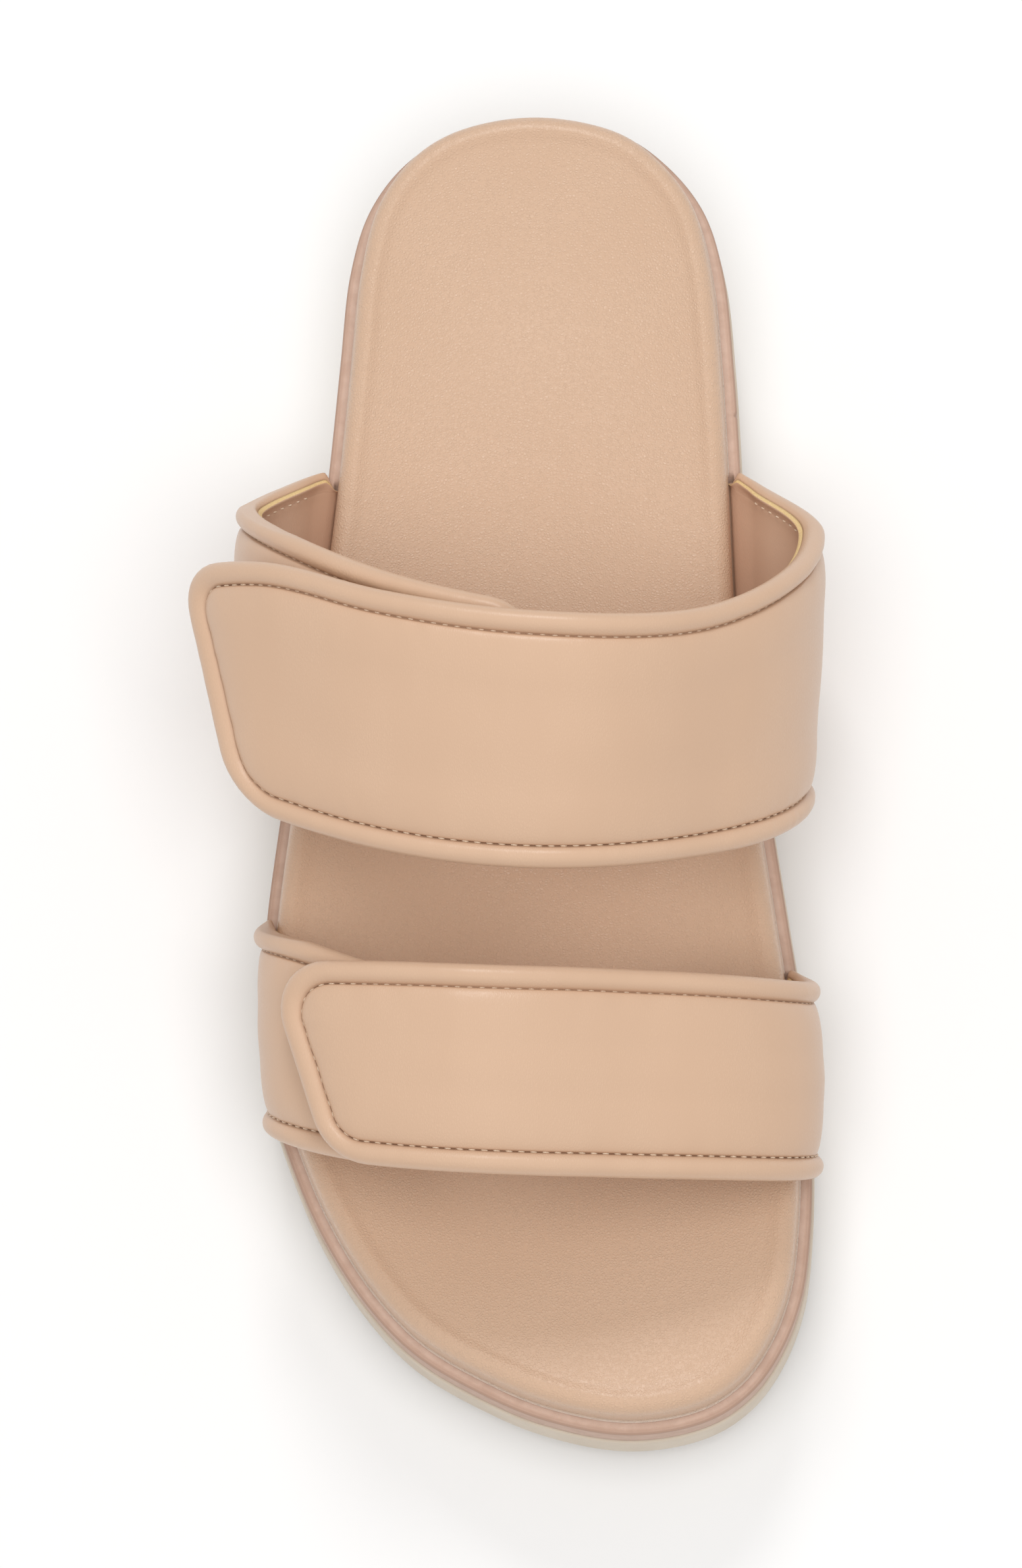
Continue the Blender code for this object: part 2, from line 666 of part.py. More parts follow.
def make_strap_half(name, wall, from_inner, reach, slant, heel_line, lift, parent):
    """One padded half of a strap, from its foot to its free end, with piping round its edge."""
    bend = BEND_RADIUS * math.pi / 2
    stations = [-bend - TAB_LENGTH, -bend, -bend / 2, 0, 0.5 * PIPE_START, PIPE_START, 2 * PIPE_START]

    def along(s):
        return s if from_inner else wall.length - s

    def width(s):
        return wall.width(min(max(along(s), 0), wall.length))

    def spot(s, w, inset, height):
        depth, out = at_foot(inset, height, s)
        w += (depth - inset) * (1 if w < width(s) / 2 else -1)
        return wall.middle(along(s), w) + wall.normal(along(s), w) * (out + lift(s))

    section = strap_section()
    outlines = [outline_ring(inset, stations, reach, slant, heel_line, width) for inset, height in section]
    rings = [
        [spot(s, w, inset, height) for s, w in outline]
        for outline, (inset, height) in zip(outlines, section)
    ]
    vertices, faces = loft(rings, closed=False)
    count, rows = len(rings[0]), len(rings)
    half = count // 2
    ends = []
    for row in (0, rows - 1):
        first, middle = row * count, len(vertices)
        inset, height = section[row]
        pairs = zip(outlines[row][:half], reversed(outlines[row][half:]))
        vertices += [spot((a[0] + b[0]) / 2, (a[1] + b[1]) / 2, inset, height) for a, b in pairs]
        for i in range(half - 1):
            faces.append((first + i, first + i + 1, middle + i + 1, middle + i))
            faces.append((first + count - 2 - i, first + count - 1 - i, middle + i, middle + i + 1))
        faces.append((first + half - 1, first + half, middle + half - 1))
        ends.append((first, middle, first + count - 1))
    (a, b, c), (d, e, f) = ends
    faces += [(a, b, e, d), (b, c, f, e)]
    for r in range(rows // 2):
        for side in (0, count - 1):
            corners = [k * count + side for k in (r, r + 1, rows - 2 - r, rows - 1 - r)]
            faces.append(tuple(dict.fromkeys(corners)))
    return add_object(name, vertices, faces, "nude_leather", parent)


def make_strap(strap, parent):
    wall = StrapWall(strap)
    sizes = wall.sizes
    lower_reach = sizes["flap_stop"] + sizes["overlap"]
    upper_reach = wall.length - sizes["flap_stop"]
    covered = wall.length - lower_reach

    def lift(s):
        climbed = smooth((s - covered + LIFT_RUN) / (LIFT_RUN - LIFT_MARGIN))
        sprung = min(max(1 - (upper_reach - s) / sizes["spring_run"], 0.0), SPRING_LIMIT)
        return FLAP_STEP * climbed + sizes["spring"] * sprung ** 2

    def heel_line(s):
        return read_table(SETBACKS, SETBACK_COLUMNS, s / upper_reach, strap)

    def tapered(s):
        return LOWER_TAPER * smooth((s / lower_reach - TAPER_START) / (1 - TAPER_START))

    def level(s):
        return 0.0

    make_strap_half(f"{strap}_strap_lower", wall, False, lower_reach, 0.0, tapered, level, parent)
    make_strap_half(
        f"{strap}_strap_upper", wall, True, upper_reach, sizes["flap_slant"], heel_line, lift, parent,
    )


def stand_on_origin(sandal):
    """Moves the sandal so that its box stands centred on the origin."""
    bpy.context.view_layer.update()
    corners = [
        thing.matrix_world @ Vector(corner)
        for thing in sandal.children if not thing.hide_render
        for corner in thing.bound_box
    ]
    low = [min(corner[k] for corner in corners) for k in range(3)]
    high = [max(corner[k] for corner in corners) for k in range(3)]
    sandal.location = (-(low[0] + high[0]) / 2, -(low[1] + high[1]) / 2, -low[2])


def main():
    for thing in list(bpy.data.objects):
        bpy.data.objects.remove(thing)
    sandal = bpy.data.objects.new("sandal", None)
    bpy.context.scene.collection.objects.link(sandal)
    make_outsole(sandal)
    make_midsole(sandal)
    make_footbed(sandal)
    for strap in STRAPS:
        make_strap(strap, sandal)
    stand_on_origin(sandal)


main()
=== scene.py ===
import math

import bmesh
import bpy
import numpy as np
from mathutils import Matrix, Vector, noise


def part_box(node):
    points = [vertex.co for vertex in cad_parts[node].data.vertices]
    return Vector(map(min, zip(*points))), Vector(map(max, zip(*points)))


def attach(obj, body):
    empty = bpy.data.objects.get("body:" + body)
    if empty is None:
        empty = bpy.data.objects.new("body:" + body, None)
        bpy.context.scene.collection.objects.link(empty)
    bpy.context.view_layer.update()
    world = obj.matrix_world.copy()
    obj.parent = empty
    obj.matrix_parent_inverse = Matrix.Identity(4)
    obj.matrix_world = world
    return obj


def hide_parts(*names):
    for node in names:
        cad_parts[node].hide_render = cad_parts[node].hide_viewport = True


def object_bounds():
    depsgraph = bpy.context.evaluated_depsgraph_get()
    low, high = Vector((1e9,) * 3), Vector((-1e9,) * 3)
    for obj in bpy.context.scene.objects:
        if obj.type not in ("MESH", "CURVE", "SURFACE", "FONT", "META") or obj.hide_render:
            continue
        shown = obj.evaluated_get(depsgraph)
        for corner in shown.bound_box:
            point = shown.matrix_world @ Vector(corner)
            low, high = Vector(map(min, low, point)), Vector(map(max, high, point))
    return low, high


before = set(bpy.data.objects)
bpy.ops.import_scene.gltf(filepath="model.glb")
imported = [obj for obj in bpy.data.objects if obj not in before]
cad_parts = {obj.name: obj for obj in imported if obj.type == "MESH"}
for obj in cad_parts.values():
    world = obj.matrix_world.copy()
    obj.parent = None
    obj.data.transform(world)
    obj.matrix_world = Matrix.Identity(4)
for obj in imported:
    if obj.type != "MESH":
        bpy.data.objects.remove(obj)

# Slide sandal for the right foot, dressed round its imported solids.
# Places are worked out heel to toe in the last's own frame (heel tip at y = 0, toe towards -y),
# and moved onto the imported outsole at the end.

mm = 0.001
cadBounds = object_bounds()


# Small sums

def smooth(x):
    x = np.clip(x, 0.0, 1.0)
    return x * x * (3 - 2 * x)


def mix(a, b, share):
    return a + (b - a) * share


def hump(x):  # 0 at both ends, 1 in the middle
    return np.sin(np.pi * np.clip(x, 0.0, 1.0)) ** 2


def readTable(rows, x):  # smooth curve through rows of (place, value)
    places = np.array([row[0] for row in rows], float)
    values = np.array([row[1] for row in rows], float)
    slopes = np.gradient(values, places)
    x = np.clip(np.asarray(x, float), places[0], places[-1])
    k = np.clip(np.searchsorted(places, x, side="right") - 1, 0, len(places) - 2)
    gap = places[k + 1] - places[k]
    t = (x - places[k]) / gap
    return ((2 * t ** 3 - 3 * t ** 2 + 1) * values[k] + (t ** 3 - 2 * t ** 2 + t) * gap * slopes[k]
            + (3 * t ** 2 - 2 * t ** 3) * values[k + 1] + (t ** 3 - t ** 2) * gap * slopes[k + 1])


def lengthsAlong(line):
    return np.concatenate([[0.0], np.cumsum(np.linalg.norm(np.diff(line, axis=0), axis=1))])


def resample(line, count):  # count points at even distances
    at = lengthsAlong(line)
    wanted = np.linspace(0, at[-1], count)
    return np.stack([np.interp(wanted, at, line[:, k]) for k in range(line.shape[1])], axis=1)


def ripple(length, pitch, seed, unevenness=0.5):
    # a wavy line of uneven waves, as gathered leather has; takes distances along a seam
    rng = np.random.default_rng(seed)
    knots = np.cumsum(pitch * (1 + unevenness * (rng.random(int(3 * length / pitch) + 8) - 0.5) * 2))
    heights = rng.random(len(knots)) * np.where(np.arange(len(knots)) % 2, 1, -1)

    def at(s):
        k = np.clip(np.searchsorted(knots, s), 1, len(knots) - 1)
        return mix(heights[k - 1], heights[k], smooth((s - knots[k - 1]) / (knots[k] - knots[k - 1])))

    return at


def softNoise(points, scale, seed=0.0):  # -1 to 1, one value for each point
    shift = Vector((seed, 2.3 * seed, 5.1 * seed))
    return np.array([noise.noise(Vector(p) * scale + shift) for p in points])


# The last that the footbed follows

last = dict(
    length=252.5 * mm,
    ballWidth=98 * mm,
    sidePoints=440,        # along each side of the sole
    spineEnd=0.16,         # the dished top's middle line stops this share from heel and toe
    heelLedge=0.6,         # share of the ledge left at the heel's back
    heelLedgeTo=0.13,      # and the share of the length from which it is full
    # place along, then the outer and inner side as shares of the ball width
    plan=(
        (0.000, 0.000, 0.000), (0.012, -0.158, 0.163), (0.035, -0.245, 0.246), (0.070, -0.305, 0.312),
        (0.120, -0.337, 0.347), (0.190, -0.354, 0.366), (0.270, -0.373, 0.379), (0.360, -0.400, 0.390),
        (0.450, -0.432, 0.405), (0.540, -0.465, 0.441), (0.620, -0.490, 0.474), (0.690, -0.498, 0.502),
        (0.750, -0.479, 0.516), (0.800, -0.437, 0.520), (0.850, -0.381, 0.517), (0.900, -0.301, 0.502),
        (0.940, -0.205, 0.465), (0.970, -0.078, 0.412), (0.990, 0.046, 0.337), (1.000, 0.199, 0.199),
    ),
)

heights = dict(
    heelSeat=31 * mm,      # floor to the footbed's seat
    ballSeat=24 * mm,
    slopeFrom=0.22,        # the seat falls from the heel's height to the ball's between these shares
    slopeTo=0.64,
    toeSpring=8 * mm,
    springFrom=0.70,
    topFollow=0.75,        # share of the toe spring that the footbed follows
    heelBevel=1.5 * mm,
    bevelTo=0.06,
    midsole=8 * mm,
    gap=0.3 * mm,          # glue gap between the layers
)


def curveThrough(points, steps):  # closed centripetal curve through the points
    count, found = len(points), []
    for i in range(count):
        a, b, c, d = (points[(i + k) % count] for k in (-1, 0, 1, 2))
        gaps = [math.sqrt(np.linalg.norm(q - p)) for p, q in ((a, b), (b, c), (c, d))]
        knots = np.cumsum([0.0] + gaps)
        for t in np.linspace(knots[1], knots[2], steps, endpoint=False):
            ab = mix(a, b, (t - knots[0]) / (knots[1] - knots[0]))
            bc = mix(b, c, (t - knots[1]) / (knots[2] - knots[1]))
            cd = mix(c, d, (t - knots[2]) / (knots[3] - knots[2]))
            abc = mix(ab, bc, (t - knots[0]) / (knots[2] - knots[0]))
            bcd = mix(bc, cd, (t - knots[1]) / (knots[3] - knots[1]))
            found.append(mix(abc, bcd, (t - knots[1]) / (knots[2] - knots[1])))
    return np.array(found)


def planSides(steps=24):
    rows = np.array(last["plan"])
    lateral = np.stack([rows[:, 1] * last["ballWidth"], -rows[:, 0] * last["length"]], axis=1)
    medial = np.stack([rows[:, 2] * last["ballWidth"], -rows[:, 0] * last["length"]], axis=1)
    dense = curveThrough(np.concatenate([lateral, medial[-2:0:-1]]), steps)
    half = (len(rows) - 1) * steps
    return dense[: half + 1], np.concatenate([dense[:1], dense[half:][::-1]])


lateralSide, medialSide = planSides()


def sideX(along, side):  # the footbed's outer (-1) or inner (1) side at a distance from the heel
    line = medialSide if side > 0 else lateralSide
    order = np.argsort(-line[:, 1])
    return np.interp(along, -line[order, 1], line[order, 0])


def middleX(along):
    return (sideX(along, 1) + sideX(along, -1)) / 2


def soleLoop(sidePoints):  # points round the footbed and their outward directions
    lateral = resample(lateralSide, sidePoints + 1)
    medial = resample(medialSide, sidePoints + 1)
    points = np.concatenate([lateral, medial[-2:0:-1]])
    along = np.roll(points, -1, axis=0) - np.roll(points, 1, axis=0)
    outward = np.stack([along[:, 1], -along[:, 0]], axis=1)
    return points, outward / np.linalg.norm(outward, axis=1)[:, None]


loopPoints, loopOutward = soleLoop(last["sidePoints"])
loopAt = lengthsAlong(loopPoints)


def ringAt(outward):
    return loopPoints + loopOutward * outward


def soleRing(outward):  # what stands out past the footbed is drawn in at the heel's back
    shown = mix(last["heelLedge"], 1.0, smooth(shareAlong(loopPoints[:, 1]) / last["heelLedgeTo"]))
    out = outward * (shown if outward > 0 else np.ones(len(loopPoints)))
    return loopPoints + loopOutward * out[:, None]


def ringInside(outward, share):  # drawn in towards the sole's middle line, which it reaches at share 0
    ring = ringAt(outward)
    end = last["spineEnd"] * last["length"]
    along = np.clip(-ring[:, 1], end, last["length"] - end)
    centre = np.stack([middleX(along), -along], axis=1)
    return mix(centre, ring, share)


def shareAlong(y):
    return np.clip(-y / last["length"], 0.0, 1.0)


def toeRise(t):
    start = heights["springFrom"]
    return heights["toeSpring"] * np.clip((t - start) / (1 - start), 0, 1) ** 2


def treadZ(y):
    t = shareAlong(y)
    return toeRise(t) + heights["heelBevel"] * np.clip(1 - t / heights["bevelTo"], 0, 1) ** 2


def seatZ(y):
    t = shareAlong(y)
    fallen = smooth((t - heights["slopeFrom"]) / (heights["slopeTo"] - heights["slopeFrom"]))
    return mix(heights["heelSeat"], heights["ballSeat"], fallen) + heights["topFollow"] * toeRise(t)


def midsoleBottomZ(y):
    return seatZ(y) - heights["gap"] - heights["midsole"]


# Meshes

def soleHome():  # from the last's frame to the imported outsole's place
    low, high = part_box("outsole")
    ring = ringAt(midsoleSizes["ledge"] + outsoleSizes["step"])
    middle = (ring.min(0) + ring.max(0)) / 2
    return np.array([(low.x + high.x) / 2 - middle[0], (low.y + high.y) / 2 - middle[1], low.z])


def raised(ring, z):
    return np.column_stack([ring, np.broadcast_to(z, len(ring))])


def ringFaces(rings, count, closed=True, start=0):
    found = []
    for r in range(rings - 1):
        a = start + r * count
        for i in range(count if closed else count - 1):
            j = (i + 1) % count
            found.append((a + i, a + j, a + count + j, a + count + i))
    return found


def capAcross(first, count):  # closes a ring of the sole, outer side to inner side
    half = count // 2
    faces = [(first, first + 1, first + count - 1)]
    faces += [(first + i, first + i + 1, first + count - i - 1, first + count - i)
              for i in range(1, half - 1)]
    return faces + [(first + half - 1, first + half, first + half + 1)]


def closedRings(rings, count):
    caps = capAcross(0, count) + capAcross((rings - 1) * count, count)
    return ringFaces(rings, count) + caps


def makePiece(name, points, faces, finishes, replaces=(), marks=None, finishOf=None):
    # marks are values kept at the points for the finish; finishOf gives each face's finish
    mesh = bpy.data.meshes.new(name)
    mesh.from_pydata((np.asarray(points) + home).tolist(), [], faces)
    for finish in finishes:
        mesh.materials.append(finish)
    if finishOf is not None:
        mesh.polygons.foreach_set("material_index", np.asarray(finishOf, np.int32))
    for mark, values in (marks or {}).items():
        kept = mesh.attributes.new(mark, "FLOAT", "POINT")
        kept.data.foreach_set("value", np.asarray(values, np.float32))
    body = bmesh.new()
    body.from_mesh(mesh)
    bmesh.ops.recalc_face_normals(body, faces=body.faces)
    body.to_mesh(mesh)
    body.free()
    mesh.shade_smooth()
    piece = bpy.data.objects.new(name, mesh)
    bpy.context.scene.collection.objects.link(piece)
    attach(piece, "root")
    for node in replaces:
        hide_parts(node)
    return piece


# Finishes

def feed(tree, socket, value):  # a constant, or what another node gives
    if isinstance(value, bpy.types.NodeSocket):
        tree.links.new(value, socket)
    else:
        socket.default_value = value


def addNode(tree, kind, **settings):
    made = tree.nodes.new(kind)
    for key, value in settings.items():
        if key in made.inputs:
            feed(tree, made.inputs[key], value)
        else:
            setattr(made, key, value)
    return made


def newFinish(name, colour, roughness):
    finish = bpy.data.materials.new(name)
    finish.use_nodes = True
    tree = finish.node_tree
    shader = tree.nodes["Principled BSDF"]
    feed(tree, shader.inputs["Base Color"], (*colour, 1))
    feed(tree, shader.inputs["Roughness"], roughness)
    return finish, tree, shader


def placeOf(tree):
    return addNode(tree, "ShaderNodeTexCoord").outputs["Object"]


def noiseOf(tree, place, scale, detail, **more):
    made = addNode(tree, "ShaderNodeTexNoise", Vector=place, Scale=scale, Detail=detail, **more)
    return made.outputs["Fac"]


def markOf(tree, mark):  # a value kept at the mesh's points
    return addNode(tree, "ShaderNodeAttribute", attribute_name=mark).outputs["Fac"]


def ramp(tree, source, low, high, lowValue=0.0, highValue=1.0):
    ends = {"From Min": low, "From Max": high, "To Min": lowValue, "To Max": highValue}
    made = addNode(tree, "ShaderNodeMapRange", interpolation_type="SMOOTHSTEP", Value=source, **ends)
    return made.outputs["Result"]


def blendColour(tree, factor, first, second):
    made = addNode(tree, "ShaderNodeMix", data_type="RGBA", Factor=factor)
    for socket, value in ((made.inputs[6], first), (made.inputs[7], second)):
        feed(tree, socket, (*value, 1) if isinstance(value, tuple) else value)
    return made.outputs[2]


def bump(tree, source, distance, before=None):
    made = addNode(tree, "ShaderNodeBump", Strength=1.0, Distance=distance, Height=source)
    if before:
        feed(tree, made.inputs["Normal"], before)
    return made.outputs["Normal"]


def leatherFinish(name, look):
    finish, tree, shader = newFinish(name, look["colour"], look["roughness"])
    feed(tree, shader.inputs["Specular IOR Level"], look["gloss"])
    feed(tree, shader.inputs["Coat Weight"], look["coat"])
    feed(tree, shader.inputs["Coat Roughness"], look["coatRoughness"])
    grain = look["grain"]
    drawn = addNode(tree, "ShaderNodeVectorMath", operation="MULTIPLY")
    feed(tree, drawn.inputs[0], placeOf(tree))
    feed(tree, drawn.inputs[1], look["drawnOut"])
    place = drawn.outputs[0]
    # the grain's cells are pulled about by a finer noise, so that no two are alike
    wander = addNode(tree, "ShaderNodeTexNoise", Vector=place, Scale=grain * 0.7, Detail=3.0)
    pull = addNode(tree, "ShaderNodeVectorMath", operation="MULTIPLY_ADD")
    for k, value in enumerate((wander.outputs["Color"], (0.9 / grain,) * 3, place)):
        feed(tree, pull.inputs[k], value)
    cells = addNode(tree, "ShaderNodeTexVoronoi", feature="DISTANCE_TO_EDGE",
                    Vector=pull.outputs[0], Scale=grain)
    creases = ramp(tree, cells.outputs["Distance"], 0.0, look["creaseWidth"])
    pores = noiseOf(tree, place, grain * 2.6, 4.0)
    patches = noiseOf(tree, place, look["patches"], 2.0)
    # the grain fades in and out over the hide
    fade = ramp(tree, patches, 0.3, 0.7, look["grainLeast"], 1.0)
    height = addNode(tree, "ShaderNodeMath", operation="MULTIPLY")
    feed(tree, height.inputs[0], creases)
    feed(tree, height.inputs[1], fade)
    normal = bump(tree, height.outputs[0], look["grainDepth"])
    feed(tree, shader.inputs["Normal"], bump(tree, pores, look["poreDepth"], normal))
    # soft patches, painted shade in the grain's creases and along the seam's groove, and the wrap's pale
    # edge
    colour = blendColour(tree, ramp(tree, patches, 0.25, 0.75), look["colour"], look["patchColour"])
    # painted shade in the grain's creases
    creaseShadeShare = ramp(tree, height.outputs[0], 0.0, 0.8, look["creaseShade"], 0.0)
    colour = blendColour(tree, creaseShadeShare, colour, look["creaseShadeColour"])
    # painted shade along the seam's groove, and on the lining where the stitches pull it in
    colour = blendColour(tree, markOf(tree, "seam"), colour, look["seamShadeColour"])
    colour = blendColour(tree, markOf(tree, "paleEdge"), colour, look["paleColour"])
    feed(tree, shader.inputs["Base Color"], colour)
    rough = ramp(tree, pores, 0.3, 0.7, look["roughness"] - 0.05, look["roughness"] + 0.06)
    feed(tree, shader.inputs["Roughness"], rough)
    return finish


strapLook = dict(
    colour=(0.665, 0.447, 0.305), patchColour=(0.680, 0.460, 0.316),
    # the crease and seam colours are painted shade
    creaseShadeColour=(0.50, 0.31, 0.20), seamShadeColour=(0.27, 0.14, 0.08), paleColour=(0.84, 0.70, 0.60),
    roughness=0.38, gloss=0.50, coat=0.16, coatRoughness=0.28,
    grain=1700.0,          # cells to the metre
    drawnOut=(1.5, 0.6, 1.0),
    patches=55.0,          # to the metre
    grainDepth=0.022 * mm, poreDepth=0.012 * mm, grainLeast=0.3,
    creaseWidth=0.35, creaseShade=0.06,
)
footbedLook = dict(
    strapLook, colour=(0.672, 0.456, 0.314), patchColour=(0.690, 0.472, 0.328),
    roughness=0.34, gloss=0.55, coat=0.20, grain=1750.0, drawnOut=(1.0, 1.0, 1.0),
    grainDepth=0.075 * mm, grainLeast=0.8, creaseWidth=0.40, creaseShade=0.10,
)
liningLook = dict(
    strapLook, colour=(0.600, 0.385, 0.265), patchColour=(0.625, 0.405, 0.282),
    roughness=0.52, grainDepth=0.02 * mm, grainLeast=0.1,
)


def foamFinish(look):
    finish, tree, shader = newFinish("blushFoam", look["colour"], look["roughness"])
    feed(tree, shader.inputs["Sheen Weight"], look["sheen"])
    feed(tree, shader.inputs["Sheen Roughness"], 0.6)
    place = placeOf(tree)
    fuzz = noiseOf(tree, place, 3200.0, 5.0, Roughness=0.7)
    lumps = noiseOf(tree, place, 420.0, 3.0)
    normal = bump(tree, lumps, look["lumpDepth"])
    feed(tree, shader.inputs["Normal"], bump(tree, fuzz, look["fuzzDepth"], normal))
    colour = blendColour(tree, ramp(tree, lumps, 0.3, 0.7), look["colour"], look["lightColour"])
    # painted shade along the ledge's outer edge and down its side, together with the butt joint's dark
    # line
    colour = blendColour(tree, markOf(tree, "rim"), colour, look["edgeShadeAndJointColour"])
    feed(tree, shader.inputs["Base Color"], colour)
    return finish


foamLook = dict(
    # the rim colour is painted shade on the ledge's edge and side, and also the butt joint's dark line
    colour=(0.640, 0.450, 0.355), lightColour=(0.710, 0.515, 0.415), edgeShadeAndJointColour=(0.500, 0.325, 0.245),
    roughness=0.85, sheen=0.04, lumpDepth=0.14 * mm, fuzzDepth=0.09 * mm,
)


def rubberFinish(look):
    finish, tree, shader = newFinish("ivoryRubber", look["colour"], look["roughness"])
    place = placeOf(tree)
    grit = noiseOf(tree, place, 2500.0, 4.0)
    patches = noiseOf(tree, place, 90.0, 3.0)
    feed(tree, shader.inputs["Normal"], bump(tree, grit, look["gritDepth"]))
    colour = blendColour(tree, ramp(tree, patches, 0.3, 0.7), look["colour"], look["lightColour"])
    feed(tree, shader.inputs["Base Color"], colour)
    rough = ramp(tree, grit, 0.3, 0.7, look["roughness"] - 0.06, look["roughness"] + 0.06)
    feed(tree, shader.inputs["Roughness"], rough)
    return finish


rubberLook = dict(
    colour=(0.690, 0.590, 0.475), lightColour=(0.740, 0.645, 0.530), roughness=0.62, gritDepth=0.03 * mm,
)


def fibreFinish(name, look):
    finish, tree, shader = newFinish(name, look["colour"], look["roughness"])
    fibres = noiseOf(tree, placeOf(tree), look["fibres"], look["detail"])
    feed(tree, shader.inputs["Normal"], bump(tree, fibres, look["depth"]))
    tone = ramp(tree, fibres, *look["toneBetween"])
    feed(tree, shader.inputs["Base Color"], blendColour(tree, tone, look["shadeColour"], look["colour"]))
    return finish


threadLook = dict(
    colour=(0.86, 0.70, 0.54), shadeColour=(0.70, 0.52, 0.37), roughness=0.45,
    fibres=5200.0, detail=2.0, depth=0.04 * mm, toneBetween=(0.35, 0.65),
)
rawEdgeLook = dict(
    colour=(0.86, 0.64, 0.33), shadeColour=(0.76, 0.53, 0.25), roughness=0.8,
    fibres=3800.0, detail=4.0, depth=0.06 * mm, toneBetween=(0.3, 0.7),
)

strapLeather = leatherFinish("nudeStrapLeather", strapLook)
footbedLeather = leatherFinish("nudeFootbedLeather", footbedLook)
liningLeather = leatherFinish("nudeLining", liningLook)
blushFoam = foamFinish(foamLook)
ivoryRubber = rubberFinish(rubberLook)
seamThread = fibreFinish("seamThread", threadLook)
rawLiningEdge = fibreFinish("rawLiningEdge", rawEdgeLook)
print("finishes made")


# Outsole, with its tread as a grid of rows across

outsoleSizes = dict(
    step=0.5 * mm,         # stands out past the midsole
    topRadius=0.45 * mm,
    treadRadius=2 * mm,
    grooveWidth=2.6 * mm, grooveDepth=1.8 * mm, groovePitch=15 * mm,
    sipeWidth=0.8 * mm, sipeDepth=0.6 * mm, sipesPerLug=2,
    wallDraft=0.25 * mm,   # groove walls lean by this much
    border=9 * mm,         # uncut margin round the tread
    rows=360, columns=36,
)
midsoleSizes = dict(
    ledge=2.7 * mm,        # stands out past the footbed
    edgeRadius=0.7 * mm,
    slotDepth=2.0 * mm, slotReach=1.9 * mm, slotTab=10.6 * mm,
    slotInset=2.6 * mm, slotFade=0.8 * mm,      # a slot's ends lie inside the strap's width
    # butt joint of the wrapped strip
    jointAlong=57.5 * mm, jointWidth=0.35 * mm, jointDepth=0.45 * mm,
)
home = soleHome()


def sidesOfRing(outward):  # a grown plan as two lines of x over y, heel tip to toe tip
    ring = soleRing(outward)
    heel, toe = int(np.argmax(ring[:, 1])), int(np.argmin(ring[:, 1]))
    ring = np.roll(ring, -heel, axis=0)
    toe = (toe - heel) % len(ring)
    lateral = ring[: toe + 1]
    medial = np.concatenate([ring[:1], ring[toe:][::-1]])
    return lateral, medial


def grooveDepthAt(x, along, cuts):
    depth = np.zeros(np.broadcast(x, along).shape)
    border, draft = outsoleSizes["border"], outsoleSizes["wallDraft"]
    inside = np.minimum(x - sideX(along, -1) - border, sideX(along, 1) - border - x)
    for centre, width, deep in cuts:
        across = np.clip((width / 2 - np.abs(along - centre)) / draft, 0, 1)
        depth = np.maximum(depth, deep * across * np.clip(inside / draft + 1, 0, 1))
    return depth


